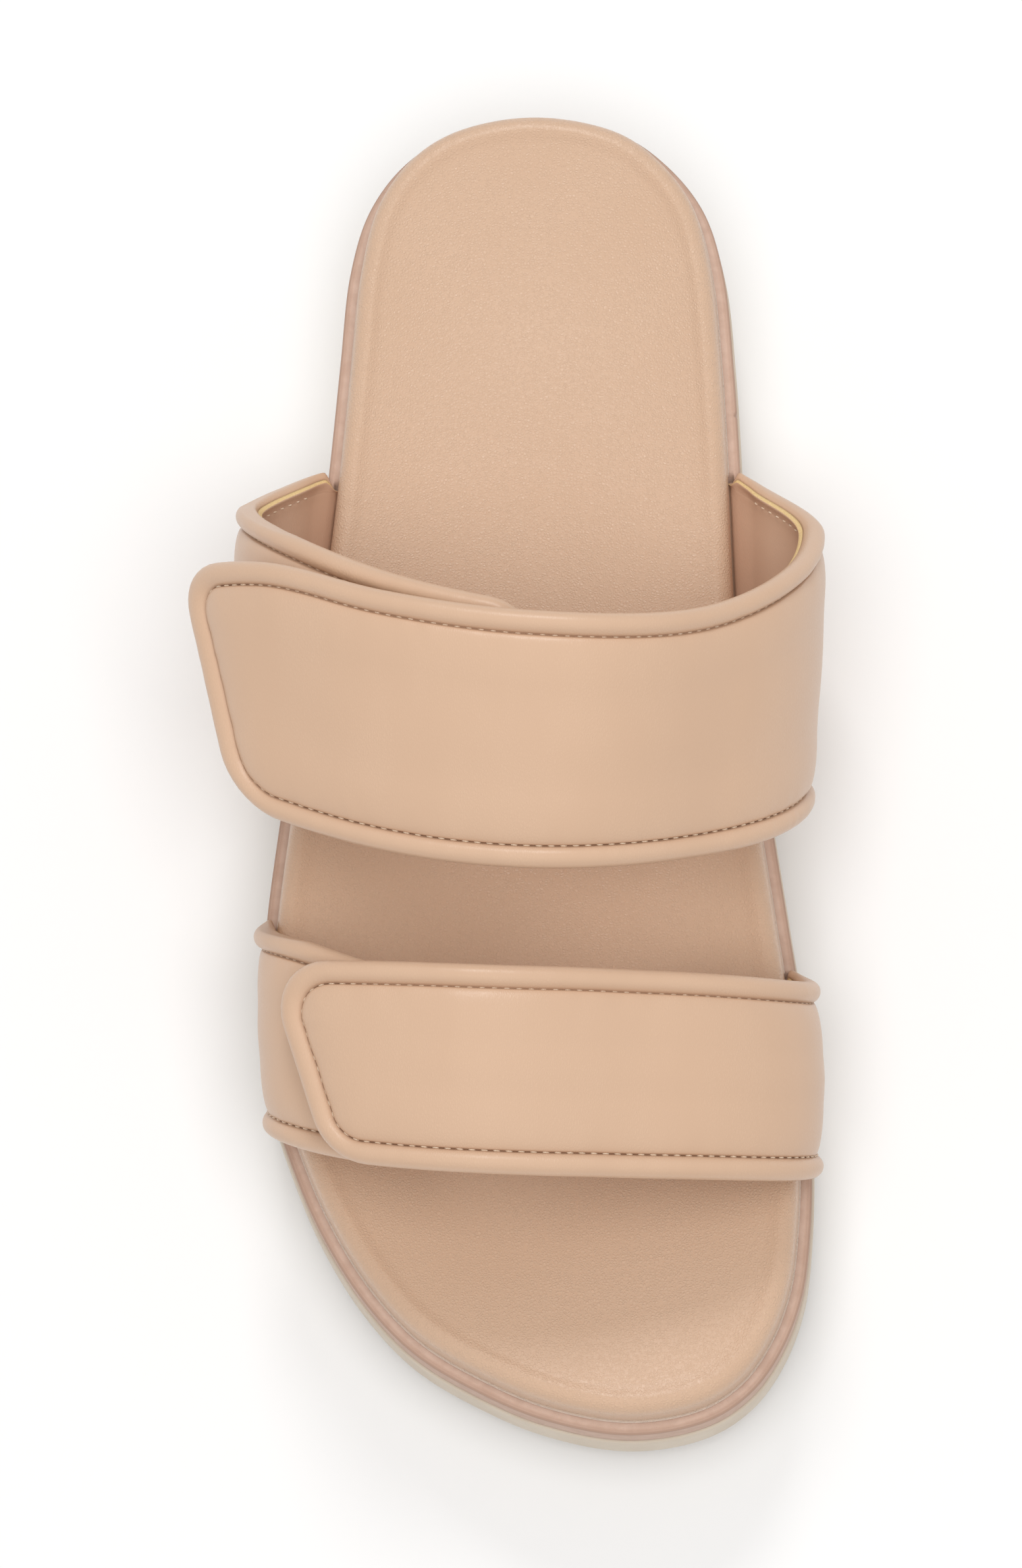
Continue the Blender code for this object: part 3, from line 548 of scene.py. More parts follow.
def makeOutsole():
    sizes, length = outsoleSizes, last["length"]
    edge = midsoleSizes["ledge"] + sizes["step"]
    count = int((length - 2 * sizes["border"]) // sizes["groovePitch"])
    first = (length - (count - 1) * sizes["groovePitch"]) / 2
    cuts = []
    for k in range(count):
        centre = first + k * sizes["groovePitch"]
        cuts.append((centre, sizes["grooveWidth"], sizes["grooveDepth"]))
        for j in range(sizes["sipesPerLug"] if k < count - 1 else 0):
            share = (j + 1) / (sizes["sipesPerLug"] + 1)
            cuts.append((centre + share * sizes["groovePitch"], sizes["sipeWidth"], sizes["sipeDepth"]))
    profile = []  # outward and height over y, tread to top
    r = sizes["treadRadius"]
    for turn in np.radians(np.linspace(0, 90, 7)):
        out, up = edge - r * (1 - np.sin(turn)), r * (1 - np.cos(turn))
        profile.append((out, lambda y, up=up: treadZ(y) + up))
    for share in (0.35, 0.7):
        profile.append((edge, lambda y, s=share: mix(treadZ(y) + r, midsoleBottomZ(y) - 0.9 * mm, s)))
    topRadius = sizes["topRadius"]
    for turn in np.radians(np.linspace(0, 90, 5)):
        out, down = edge - topRadius * (1 - np.cos(turn)), topRadius * (1 - np.sin(turn))
        profile.append((out, lambda y, d=down: midsoleBottomZ(y) - heights["gap"] - d))
    profile.append((-4 * mm, lambda y: midsoleBottomZ(y) - heights["gap"]))

    lateral, medial = sidesOfRing(profile[0][0])
    top, bottom = lateral[0, 1], lateral[-1, 1]
    ys = top + (bottom - top) * (1 - np.cos(np.linspace(0, np.pi, sizes["rows"]))) / 2
    edges = [-(c + side * (w / 2 - inset)) for c, w, d in cuts for side in (-1, 1)
             for inset in (0.0, sizes["wallDraft"])]
    ys = np.array(sorted(set(np.round(np.concatenate([ys, edges]), 7)), reverse=True))
    share = (ys - top) / (bottom - top)
    n = len(ys) - 1
    rings = []
    for out, height in profile:
        lateral, medial = sidesOfRing(out)
        y = mix(lateral[0, 1], lateral[-1, 1], share)
        left = np.interp(-y, -lateral[:, 1], lateral[:, 0])
        right = np.interp(-y, -medial[:, 1], medial[:, 0])
        ring = np.concatenate([np.column_stack([left, y]), np.column_stack([right, y])[-2:0:-1]])
        rings.append(raised(ring, height(ring[:, 1])))
    ringCount = 2 * n
    points = [np.concatenate(rings)]
    faces = ringFaces(len(rings), ringCount) + capAcross((len(rings) - 1) * ringCount, ringCount)
    # the tread, row by row between the two sides of the lowest ring
    columns = sizes["columns"]
    start = len(points[0])
    low = rings[0]
    rows = []
    for j in range(1, n):
        a, b = low[j], low[ringCount - j]
        wide = b[0] - a[0]
        rim = min(sizes["border"] - edge + r + 4.1 * mm, 0.42 * wide)
        inner = np.linspace(rim, wide - rim, columns - 5)
        ends = [rim / 2, rim - sizes["wallDraft"]], [wide - rim + sizes["wallDraft"], wide - rim / 2]
        x = a[0] + np.concatenate([ends[0], inner, ends[1]])
        y = np.full(len(x), a[1])
        rows.append(np.column_stack([x, y, treadZ(y) + grooveDepthAt(x, -y, cuts)]))
    points.append(np.concatenate(rows))
    width = len(rows[0])

    def rowIndex(j):
        base = start + (j - 1) * width
        return [j, *range(base, base + width), ringCount - j]

    for j in range(1, n - 1):
        one, two = rowIndex(j), rowIndex(j + 1)
        faces += [(one[k], two[k], two[k + 1], one[k + 1]) for k in range(len(one) - 1)]
    for j, tip in ((1, 0), (n - 1, n)):
        row = rowIndex(j)
        faces += [(tip, row[k], row[k + 1]) for k in range(len(row) - 1)]
    makePiece("outsole_rubber", np.concatenate(points), faces, [ivoryRubber],
              ["outsole"])


makeOutsole()
print("outsole made")


# Midsole, a foam layer whose ledge shows round the footbed

strapFeet = []  # (side, from, to) along the sole, filled from the strap shapes below

strapShapes = dict(
    instep=dict(
        heelEdge=dict(medialFoot=0.264, lateralFoot=0.270, height=66 * mm, lean=37 * mm,
                      medialCurve=0.68, lateralCurve=1.5, lateralKick=0.2,
                      medialBulge=15.1 * mm, lateralBulge=15.4 * mm, bulgeHeight=20 * mm),
        toeEdge=dict(medialFoot=0.508, lateralFoot=0.481, height=54 * mm, lean=31 * mm,
                     medialCurve=1.1, lateralCurve=1.3, lateralKick=0.0,
                     medialBulge=8.4 * mm, lateralBulge=6.8 * mm, bulgeHeight=19 * mm),
        waist=0.0, crestShift=8 * mm, flapStop=35.2 * mm, flapSlant=9.5 * mm, lowerReach=104 * mm,
        flapCorners=(10 * mm, 12.5 * mm),     # at the heel edge and at the toe edge
        spring=6.5 * mm, springRun=32 * mm,
        # share of the upper half's length, and how far its heel edge lies inside the lower half's
        setbacks=((0, 0), (0.15, 0.8 * mm), (0.28, 3.6 * mm), (0.4, 6.6 * mm), (0.6, 5.6 * mm),
                  (0.75, 4.6 * mm), (0.88, 4.4 * mm), (1, 10 * mm)),
    ),
    toe=dict(
        heelEdge=dict(medialFoot=0.645, lateralFoot=0.612, height=45 * mm, lean=12.5 * mm,
                      medialCurve=0.5, lateralCurve=0.8, lateralKick=0.0,
                      medialBulge=3.4 * mm, lateralBulge=0.6 * mm, bulgeHeight=11 * mm),
        toeEdge=dict(medialFoot=0.808, lateralFoot=0.772, height=39 * mm, lean=12.5 * mm,
                     medialCurve=1.0, lateralCurve=1.0, lateralKick=0.0,
                     medialBulge=0.6 * mm, lateralBulge=0.5 * mm, bulgeHeight=10 * mm),
        waist=1.8 * mm, crestShift=5 * mm, flapStop=30 * mm, flapSlant=10.2 * mm, lowerReach=62 * mm,
        flapCorners=(11 * mm, 10 * mm),
        spring=1 * mm, springRun=20 * mm,
        setbacks=((0, 0), (0.25, 1 * mm), (0.45, 1.8 * mm), (0.85, 2.2 * mm), (1, 4 * mm)),
    ),
)
strapSizes = dict(
    pipeRadius=2.2 * mm,
    panelEdge=0.95 * mm,   # panel's height where it dives into the seam
    panelCrown=3.0 * mm,
    panelRise=9 * mm,      # distance over which the padding swells from its seam
    dome=0.35 * mm,        # extra swell along the middle
    liningDepth=1.2 * mm,
    tabThick=1.4 * mm, tabLength=10 * mm,
    paddingStart=28 * mm, pipeStart=3.4 * mm, pipeFull=12 * mm,
    leastCorner=2 * mm,
    clearance=0.3 * mm, liftRun=40 * mm, springLimit=1.2,
    step=0.8 * mm,         # spacing of points along a strap
    heelSeam=0.6,          # share of the seam's depth and painted shade along the heel edge
    cornerPoints=10, endPoints=22,
    archPoints=640, archRows=33,
)
for shape in strapShapes.values():
    for side, foot in ((1, "medialFoot"), (-1, "lateralFoot")):
        start, end = (shape[edge][foot] * last["length"] for edge in ("heelEdge", "toeEdge"))
        strapFeet.append((side, start, end))


def slotMask(ring):  # 1 where a strap's margin goes down beside the footbed
    along, mask = -ring[:, 1], np.zeros(len(ring))
    inset, fade = midsoleSizes["slotInset"], midsoleSizes["slotFade"]
    for side, start, end in strapFeet:
        here = (ring[:, 0] - middleX(along)) * side > 0
        inside = smooth((along - start - inset) / fade) * smooth((end - inset - along) / fade)
        mask = np.maximum(mask, inside * here)
    return mask


def makeMidsole():
    sizes = midsoleSizes
    ledge, r, reach = sizes["ledge"], sizes["edgeRadius"], sizes["slotReach"]

    def top(ring):
        return seatZ(ring[:, 1]) - heights["gap"]

    # each row's last value is painted shade: some at the bottom of the side, a little up the side, most
    # on the ledge's outer edge
    rows = [(out, lambda p: midsoleBottomZ(p[:, 1]), 0.6) for out in (ledge - 3 * mm, ledge)]
    for share in (0.1, 0.35, 0.65, 0.9):
        rows.append((ledge, lambda p, s=share: mix(midsoleBottomZ(p[:, 1]), top(p) - r, s), 0.2))
    for turn in np.radians(np.linspace(0, 90, 6)):
        rim = 1.0 if turn < 1.2 else 0.5
        down = r * (1 - np.sin(turn))
        rows.append((ledge - r * (1 - np.cos(turn)), lambda p, d=down: top(p) - d, rim))
    rows.append((reach + 0.05 * mm - 0.35 * mm, lambda p: top(p) - 0.05 * mm, 0.0))
    depth = sizes["slotDepth"]
    rows.append((1.45 * mm, lambda p: (top(p) - 0.05 * mm * (1 - slotMask(p))
                                       - 0.1 * depth * slotMask(p)), 0.0))
    for out in (1.35 * mm, 0.7 * mm, 0.0, -1.5 * mm, -sizes["slotTab"]):
        rows.append((out, lambda p: top(p) - depth * slotMask(p), 0.0))
    rings, rim = [], []
    for out, height, mark in rows:
        ring = soleRing(out)
        z = height(ring)
        # butt joint of the strip, on the inner side
        away = np.abs(-ring[:, 1] - sizes["jointAlong"])
        joint = smooth(1 - away / sizes["jointWidth"]) * (ring[:, 0] > middleX(-ring[:, 1]))
        if out > 0.5 * mm:
            z = z - sizes["jointDepth"] * joint * (z > midsoleBottomZ(ring[:, 1]) + 1 * mm)
            ring = ring - loopOutward * (sizes["jointDepth"] * joint * (out > 2 * mm))[:, None]
        rings.append(raised(ring, z))
        # the butt joint's dark line is added to the painted shade
        rim.append(np.maximum(mark, 0.8 * joint))
    count = len(loopPoints)
    faces = closedRings(len(rings), count)
    makePiece("midsole_foam", np.concatenate(rings), faces, [blushFoam], ["midsole"],
              {"rim": np.concatenate(rim)})


makeMidsole()
print("midsole made")


# Footbed, wrapped over a rolled rim

footbedSizes = dict(
    thickness=9 * mm, rimRadius=3.0 * mm, tuck=0.6 * mm,
    cupDepth=4.0 * mm,
    cup=((0.0, 0.75), (0.12, 1.0), (0.3, 0.8), (0.5, 0.45), (0.7, 0.5), (0.88, 0.45), (1.0, 0.3)),
    archRise=2.4 * mm, archCentre=0.40, archSpread=0.11,
    dishPower=2.4,         # how evenly the dish falls from the rim
    rimDrop=0.35 * mm, rimDropRun=2.6 * mm,      # just inside the rolled rim
    puckerPitch=2.4 * mm, puckerDepth=0.07 * mm, puckerReach=6 * mm,
    lipOut=0.55 * mm, lipHigh=0.6 * mm,     # pale lower edge of the wrap
    wallSwell=0.25 * mm,   # the wrapped side's, and the most that the lip stands out behind a strap
    undulation=0.12 * mm, undulationScale=45.0,
)


def footbedTopZ(ring, share):  # dished top, share 1 at the rim and 0 on the middle line
    sizes = footbedSizes
    t = shareAlong(ring[:, 1])
    depth = sizes["cupDepth"] * readTable(sizes["cup"], t)
    inward = (1 - share) * 0.40 * last["ballWidth"]
    depth = (depth * (1 - share ** sizes["dishPower"])
             + sizes["rimDrop"] * smooth(inward / sizes["rimDropRun"]))
    inner = smooth((ring[:, 0] - middleX(t * last["length"])) / (0.3 * last["ballWidth"]))
    arch = sizes["archRise"] * inner * np.exp(-((t - sizes["archCentre"]) / sizes["archSpread"]) ** 2)
    return seatZ(ring[:, 1]) + sizes["thickness"] - depth + arch * (1 - share ** 4)


def makeFootbed():
    sizes = footbedSizes
    r = sizes["rimRadius"]
    rows = [(-6 * mm, 0.0, 0.0), (-sizes["tuck"], 0.0, 0.3)]  # outward, height over the seat, pale edge
    lipOut, lipHigh = sizes["lipOut"], sizes["lipHigh"]
    rows += [(0.1 * mm, 0.15 * mm, 1.0), (lipOut, 0.35 * mm, 1.0), (lipOut, lipHigh, 0.7),
             (0.02 * mm, lipHigh + 0.35 * mm, 0.0)]
    for share in (0.25, 0.5, 0.75):
        rows.append((sizes["wallSwell"] * math.sin(share * math.pi),
                     mix(lipHigh, sizes["thickness"] - r, share), 0.0))
    for turn in np.radians(np.linspace(0, 90, 13)):
        rows.append((-r * (1 - math.cos(turn)), sizes["thickness"] - r * (1 - math.sin(turn)), 0.0))
    rings = []
    for out, high, mark in rows:
        ring = ringAt(out)
        ring = ring - loopOutward * (max(0.0, out - sizes["wallSwell"]) * slotMask(ring))[:, None]
        rings.append(raised(ring, seatZ(ring[:, 1]) + high))
    pale = [np.full(len(loopPoints), mark) for out, high, mark in rows]
    shares = np.concatenate([np.linspace(1.0, 0.80, 13), np.linspace(0.765, 0.03, 26)])
    for share in shares:
        ring = ringInside(-r, share)
        rings.append(raised(ring, footbedTopZ(ring, share)))
        pale.append(np.zeros(len(ring)))
    # puckers along the rolled rim, deepest at its crest
    wave = ripple(loopAt[-1], sizes["puckerPitch"], 4)(loopAt)
    strength = mix(0.35, 1.0, smooth(0.5 + softNoise(raised(loopPoints, 0.0), 60.0, 3.0)))
    crest = ringAt(-r)
    for k, ring in enumerate(rings):
        inward = np.linalg.norm(ring[:, :2] - crest, axis=1)
        fade = smooth(1 - inward / sizes["puckerReach"]) * (ring[:, 2] - seatZ(ring[:, 1]) > 4 * mm)
        ring[:, 2] += sizes["puckerDepth"] * wave * strength * fade
    points = np.concatenate(rings)
    over = points[:, 2] - seatZ(points[:, 1]) > 3 * mm
    points[over, 2] += sizes["undulation"] * softNoise(points[over], sizes["undulationScale"], 7.0)
    count = len(loopPoints)
    faces = closedRings(len(rings), count)
    piece = makePiece("footbed_wrapped", points, faces, [footbedLeather], ["footbed"],
                      {"paleEdge": np.concatenate(pale)})


makeFootbed()
print("footbed made")


# Straps. A wall is the middle surface of a strap: s runs along it from the inner foot, w across it
# from its heel edge.

bendRadius = strapSizes["clearance"] + strapSizes["tabThick"] / 2
fullStandoff = strapSizes["pipeRadius"] - strapSizes["clearance"]
flapStep = strapSizes["panelCrown"] + strapSizes["pipeRadius"] + 5 * strapSizes["clearance"]
seamInset = 2 * strapSizes["pipeRadius"]


def archLine(shape, v):  # inner to outer foot, v 0 at the heel edge and 1 at the toe edge
    heel, toe = shape["heelEdge"], shape["toeEdge"]
    edge = {name: mix(heel[name], toe[name], v) for name in heel}
    feet = {1: edge["medialFoot"] * last["length"], -1: edge["lateralFoot"] * last["length"]}
    between = (feet[1] + feet[-1]) / 2
    crestX = middleX(between) + shape["crestShift"]
    knee, height = edge["bulgeHeight"], edge["height"]
    edge["lateralBulge"] -= shape["waist"] * math.sin(math.pi * v)
    steps = 120
    parts = []
    for side, name in ((1, "medial"), (-1, "lateral")):
        bulge = edge[f"{name}Bulge"]
        base = sideX(feet[side], side)
        half = abs(base - crestX) + fullStandoff + bulge
        z = knee * np.arange(steps) / steps
        stand = mix(bendRadius, fullStandoff, smooth(z / strapSizes["pipeStart"]))
        x = base + side * (stand + bulge * np.sin(math.pi / 2 * np.arange(steps) / steps))
        turn = math.pi / 2 * np.arange(steps + 1) / steps
        x = np.concatenate([x, crestX + side * half * np.cos(turn)])
        z = np.concatenate([z, knee + (height - knee) * np.sin(turn)])
        up = z / height
        # the outer side gains part of its lean low down
        low = np.sin(math.pi / 2 * np.clip(z / knee, 0, 1))
        leaning = mix(up ** edge[f"{name}Curve"], low, edge["lateralKick"] if side < 0 else 0.0)
        along = mix(feet[side], between, up * up) + edge["lean"] * leaning
        part = np.column_stack([x, -along, z + seatZ(-along)])
        parts.append(part if side > 0 else part[-2::-1])
    return resample(np.concatenate(parts), strapSizes["archPoints"])


def makeWall(shape):
    arches = np.array([archLine(shape, v) for v in np.linspace(0, 1, strapSizes["archRows"])])
    length = np.mean([lengthsAlong(arches[k])[-1] for k in (0, -1)])
    return dict(arches=arches, length=length)


def wallSurface(wall, u, v):
    arches = wall["arches"]
    row = np.clip(v, 0, 1) * (len(arches) - 1)
    j = np.minimum(row.astype(int), len(arches) - 2)
    place = np.clip(u, 0, 1) * (arches.shape[1] - 1)
    i = np.minimum(place.astype(int), arches.shape[1] - 2)
    a, b = (place - i)[:, None], (row - j)[:, None]
    return mix(mix(arches[j, i], arches[j, i + 1], a), mix(arches[j + 1, i], arches[j + 1, i + 1], a), b)


def wallWidth(wall, s):
    u = np.clip(np.atleast_1d(s) / wall["length"], 0, 1)
    gap = wallSurface(wall, u, np.ones_like(u)) - wallSurface(wall, u, np.zeros_like(u))
    return np.linalg.norm(gap, axis=1)


def wallMiddle(wall, s, w):  # past either foot the wall turns in under the footbed
    length = wall["length"]
    point = wallSurface(wall, s / length, w / wallWidth(wall, s))
    beyond = np.maximum(np.maximum(-s, s - length), 0)
    side = np.where(s < 0, 1, -1)
    turn = np.minimum(beyond / bendRadius, math.pi / 2)
    shift = bendRadius * (1 - np.cos(turn)) + np.maximum(beyond - bendRadius * math.pi / 2, 0)
    point[:, 0] -= side * shift
    point[:, 2] -= bendRadius * np.sin(turn)
    return point


def wallNormal(wall, s, w):  # away from the foot
    near = np.minimum(np.abs(s), np.abs(s - wall["length"]))
    inside = (s > 0) & (s < wall["length"])
    step = np.where(inside, np.clip(near, 0.2 * mm, 2 * mm), 0.2 * mm)
    along = wallMiddle(wall, s + step, w) - wallMiddle(wall, s - step, w)
    across = wallMiddle(wall, s, w + mm) - wallMiddle(wall, s, w - mm)
    found = np.cross(along, across)
    return found / np.linalg.norm(found, axis=1)[:, None]


def makeHalf(wall, fromInner, reach, slant, corners, setbacks, lift):
    # everything about one half of a strap that its pieces share
    bend = bendRadius * math.pi / 2
    foot = [-bend - strapSizes["tabLength"], -bend, -0.75 * bend, -0.5 * bend, -0.25 * bend]
    foot += list(np.arange(0, 2 * strapSizes["pipeStart"], 0.5 * mm))
    count = int(reach / strapSizes["step"])
    return dict(wall=wall, fromInner=fromInner, reach=reach, slant=slant, corners=corners,
                setbacks=setbacks, lift=lift, foot=np.array(foot), count=count)


def halfAlong(half, s):
    return s if half["fromInner"] else half["wall"]["length"] - s


def halfWidth(half, s):
    wall = half["wall"]
    return wallWidth(wall, np.clip(halfAlong(half, np.atleast_1d(s)), 0, wall["length"]))


def heelLine(half, s):
    return readTable(half["setbacks"], np.atleast_1d(s) / half["reach"])


def heelTurn(half, s):  # the heel edge's angle to the strap
    return np.arctan((heelLine(half, s + mm) - heelLine(half, s - mm)) / (2 * mm))


def outlineRing(half, inset):  # (s, w) up the heel edge, round the free end and back down the toe edge
    reach, slant = half["reach"], half["slant"]
    stop = float(heelLine(half, reach)[0])
    broad = float(halfWidth(half, reach)[0]) - stop
    long = math.hypot(broad, slant)
    outS, outW = broad / long, slant / long
    radius, toeRadius = (max(corner - inset, strapSizes["leastCorner"]) for corner in half["corners"])
    deep, toeDeep = inset + radius, inset + toeRadius
    # the heel corner's arc starts along the heel edge and ends along the free end
    heelS = reach - deep * (1 + outW) / outS
    for _ in range(12):
        turn = float(heelTurn(half, heelS)[0])
        centreS = heelS - radius * math.sin(turn)
        centreW = float(heelLine(half, heelS)[0]) + inset / math.cos(turn) + radius * math.cos(turn)
        heelS -= (outS * (centreS - reach) + outW * (centreW - stop) + deep) / outS
    toeS = reach - (toeDeep + (broad - toeDeep) * outW) / outS
    toeW = float(halfWidth(half, toeS)[0]) - toeDeep
    facing = math.atan2(outW, outS)
    start = half["foot"][-1]

    def spread(end):
        shares = np.arange(1, half["count"]) / half["count"]
        return np.concatenate([half["foot"], mix(start, end, shares)])

    s1, s2 = spread(heelS), spread(toeS)[::-1]
    corner = np.linspace(turn - math.pi / 2, facing, strapSizes["cornerPoints"])
    one = np.column_stack([centreS + radius * np.cos(corner), centreW + radius * np.sin(corner)])
    corner = np.linspace(facing, math.pi / 2, strapSizes["cornerPoints"])
    two = np.column_stack([toeS + toeRadius * np.cos(corner), toeW + toeRadius * np.sin(corner)])
    between = np.linspace(0, 1, strapSizes["endPoints"] + 2)[1:-1][:, None]
    heelSide = np.column_stack([s1, heelLine(half, s1) + inset / np.cos(heelTurn(half, s1))])
    toeSide = np.column_stack([s2, halfWidth(half, s2) - inset])
    return np.concatenate([heelSide, one, mix(one[-1], two[0], between), two, toeSide])


def atFoot(inset, height, s):  # near the foot the wall thins to its glued margin
    thin = strapSizes["tabThick"] / 2
    grown = smooth(s / strapSizes["pipeStart"])
    full = smooth(s / strapSizes["pipeFull"])
    if inset <= seamInset:
        least = seamInset + 0.1 * inset
        return mix(least, inset, grown), mix(thin * height / strapSizes["pipeRadius"], height, full)
    if np.max(height) < 0:
        return np.full_like(s, inset), mix(thin * height / (2 * strapSizes["liningDepth"]), height, full)
    rise = smooth(s / strapSizes["paddingStart"])
    return np.full_like(s, inset), mix(thin * height / strapSizes["panelCrown"], height, rise)


def offWall(half, s, w, out):
    wall, along = half["wall"], halfAlong(half, s)
    out = out + half["lift"](s)
    return wallMiddle(wall, along, w) + wallNormal(wall, along, w) * out[:, None]


def onHalf(half, outline, inset, height):  # a row of the section, in the last's frame
    s, w = outline[:, 0], outline[:, 1]
    depth, out = atFoot(inset, height, s)
    w = w + (depth - inset) * np.where(w < halfWidth(half, s) / 2, 1, -1)
    return offWall(half, s, w, out)


def padding(distance):  # the padded face's height at a distance from its seam
    share = np.clip(distance / strapSizes["panelRise"], 0, 1)
    return mix(strapSizes["panelEdge"], strapSizes["panelCrown"], np.sqrt(1 - (1 - share) ** 2))


panelSteps = (1.0, 0.88, 0.76, 0.65, 0.54, 0.44, 0.35, 0.27, 0.20, 0.14, 0.09, 0.05, 0.025, 0.008)
pipeTurns = np.radians(np.concatenate([[20.0], np.arange(26, 250, 14), [256.0]]))
puckerSizes = dict(
    panelPitch=3.4 * mm, panelDepth=0.10 * mm, panelReach=5 * mm,   # beside the seam
    pipePitch=2.6 * mm, pipeDepth=0.05 * mm,                        # round the piping
    slack=0.09 * mm, slackScale=38.0,                               # soft unevenness of the padding
    calmFrom=8 * mm, calmRun=20 * mm,                               # no puckers near the foot
)


def paddedSection():  # rows of (inset, height, seam shade, pucker), padding to the inner side
    rise, r = strapSizes["panelRise"], strapSizes["pipeRadius"]
    lip = 0.05 * mm
    rows = []
    # the third value of each row is painted shade, strongest in the seam's groove
    for step in panelSteps:
        near = max(0.0, 1 - step * rise / (0.25 * mm))
        rows.append((seamInset + lip + step * rise, float(padding(step * rise)), 0.45 * near, "panel"))
    rows += [(seamInset + 0.02 * mm, 0.62 * mm, 1.0, ""), (seamInset - 0.07 * mm, 0.60 * mm, 1.0, "")]
    for turn in pipeTurns:
        near = max(0.0, 1 - (turn - pipeTurns[0]) / 0.2)
        rows.append((r * (1 + math.cos(turn)), r * math.sin(turn), 0.45 * near, "pipe"))
    rows.append((1.6 * mm, -1.3 * mm, 0.0, ""))
    rows.append((seamInset + 0.3 * mm, -0.7 * mm, 0.0, ""))
    return rows


def fillSides(half, outline):
    # a grid over the inside of an outline: rows along the strap, columns from its heel side to its
    # toe side, each column ending at a point of the free end
    side = len(half["foot"]) + half["count"] - 1
    a, b, end = outline[:side], outline[::-1][:side], outline[side - 1:len(outline) - side + 1]
    u = np.linspace(0, 1, side)[:, None, None]
    v = np.linspace(0, 1, len(end))[None, :, None]
    foot = mix(a[0], b[0], v)
    corners = mix(mix(a[0], b[0], v), mix(a[-1], b[-1], v), u)
    return mix(a[:, None], b[:, None], v) + mix(foot, end[None], u) - corners


def fillPoints(half, grid, inset, heightOf):  # the grid's inner points, without its last row
    inner, low, high = grid[:-1, 1:-1], grid[:-1, :1, 1], grid[:-1, -1:, 1]
    s, w = inner[..., 0].ravel(), inner[..., 1].ravel()
    share = ((inner[..., 1] - low) / (high - low)).ravel()
    left = np.linspace(1, 0, grid.shape[0])[:-1] * grid.shape[0] * strapSizes["step"]
    past = np.repeat(left, inner.shape[1])
    return offWall(half, s, w, atFoot(inset, heightOf(share, past), s)[1])


def gridFaces(faces, ringStart, count, fillStart, rows, columns):
    # joins a ring's two sides and its end through the grid; returns the line along the foot
    def index(i, k):
        if k == 0:
            return ringStart + i
        if k == columns - 1:
            return ringStart + count - 1 - i
        if i == rows - 1:
            return ringStart + rows - 1 + k
        return fillStart + i * (columns - 2) + k - 1

    for i in range(rows - 1):
        for k in range(columns - 1):
            faces.append((index(i, k), index(i + 1, k), index(i + 1, k + 1), index(i, k + 1)))
    return [index(0, k) for k in range(columns)]


def seamStrength(half, outline):  # the heel edge's seam gets less painted shade than the others, and its stitches sink deeper
    s, w = outline[:, 0], outline[:, 1]
    across = smooth((w / halfWidth(half, s) - 0.3) / 0.4)
    end = smooth((s - half["reach"] + 22 * mm) / (10 * mm))
    return mix(strapSizes["heelSeam"], 1.0, np.maximum(across, end))


def closedShell(half, section, seed, crownHeight, innerHeight):
    # one closed mesh from rows of a section, filled across on both faces
    rings, shades = [], []
    outlines = [outlineRing(half, row[0]) for row in section]
    for outline, (inset, height, shade, pucker) in zip(outlines, section):
        ring = onHalf(half, outline, inset, height)
        if pucker:
            at = lengthsAlong(outlines[-1])
            s = outline[:, 0]
            calm = smooth((s - puckerSizes["calmFrom"]) / puckerSizes["calmRun"])
            if pucker == "panel":
                reach = max(0.0, 1 - (inset - seamInset) / puckerSizes["panelReach"])
                size = puckerSizes["panelDepth"] * reach * min(1.0, height / (1.2 * mm))
                wave = ripple(at[-1], puckerSizes["panelPitch"], seed)(at)
            else:
                size = puckerSizes["pipeDepth"] * max(0.0, height / strapSizes["pipeRadius"])
                wave = ripple(at[-1], puckerSizes["pipePitch"], seed + 1)(at)
            out = wallNormal(half["wall"], halfAlong(half, s), outline[:, 1])
            ring = ring + out * (size * wave * calm)[:, None]
        rings.append(ring)
        shades.append(shade * seamStrength(half, outline))
    count = len(rings[0])
    faces = ringFaces(len(rings), count, closed=False)
    points, feet = [np.concatenate(rings)], []
    start = len(points[0])
    for k, height in ((0, crownHeight), (len(rings) - 1, innerHeight)):
        grid = fillSides(half, outlines[k])
        points.append(fillPoints(half, grid, section[k][0], height))
        feet.append(gridFaces(faces, k * count, count, start, *grid.shape[:2]))
        start += len(points[-1])
        shades.append(np.zeros(len(points[-1])))
    points, shades = np.concatenate(points), np.concatenate(shades)
    a, b = feet
    # the glued margin's cut end
    faces += [(a[k], a[k + 1], b[k + 1], b[k]) for k in range(len(a) - 1)]
    for side in (0, count - 1):
        line = [k * count + side for k in range(len(rings))]
        while len(line) > 2:
            faces.append((*line[:2], *line[-2:]) if len(line) > 3 else tuple(line))
            line = line[1:-1]
    return points, faces, shades, outlines


def makePadded(name, half, seed, node):
    section = paddedSection()
    crown = strapSizes["panelCrown"]
    points, faces, shades, outlines = closedShell(
        half, section, seed,
        lambda share, past: crown + strapSizes["dome"] * hump(share) * smooth(past / (25 * mm)),
        lambda share, past: -0.6 * mm)
    slack = puckerSizes["slack"] * softNoise(points, puckerSizes["slackScale"], seed)
    points[:, 2] += slack * smooth((points[:, 2] - seatZ(points[:, 1]) - 8 * mm) / (10 * mm))
    piece = makePiece(name, points, faces, [strapLeather], [node], {"seam": shades})


liningSizes = dict(edgeInset=1.55 * mm, bulge=2.85 * mm, thick=0.75 * mm)


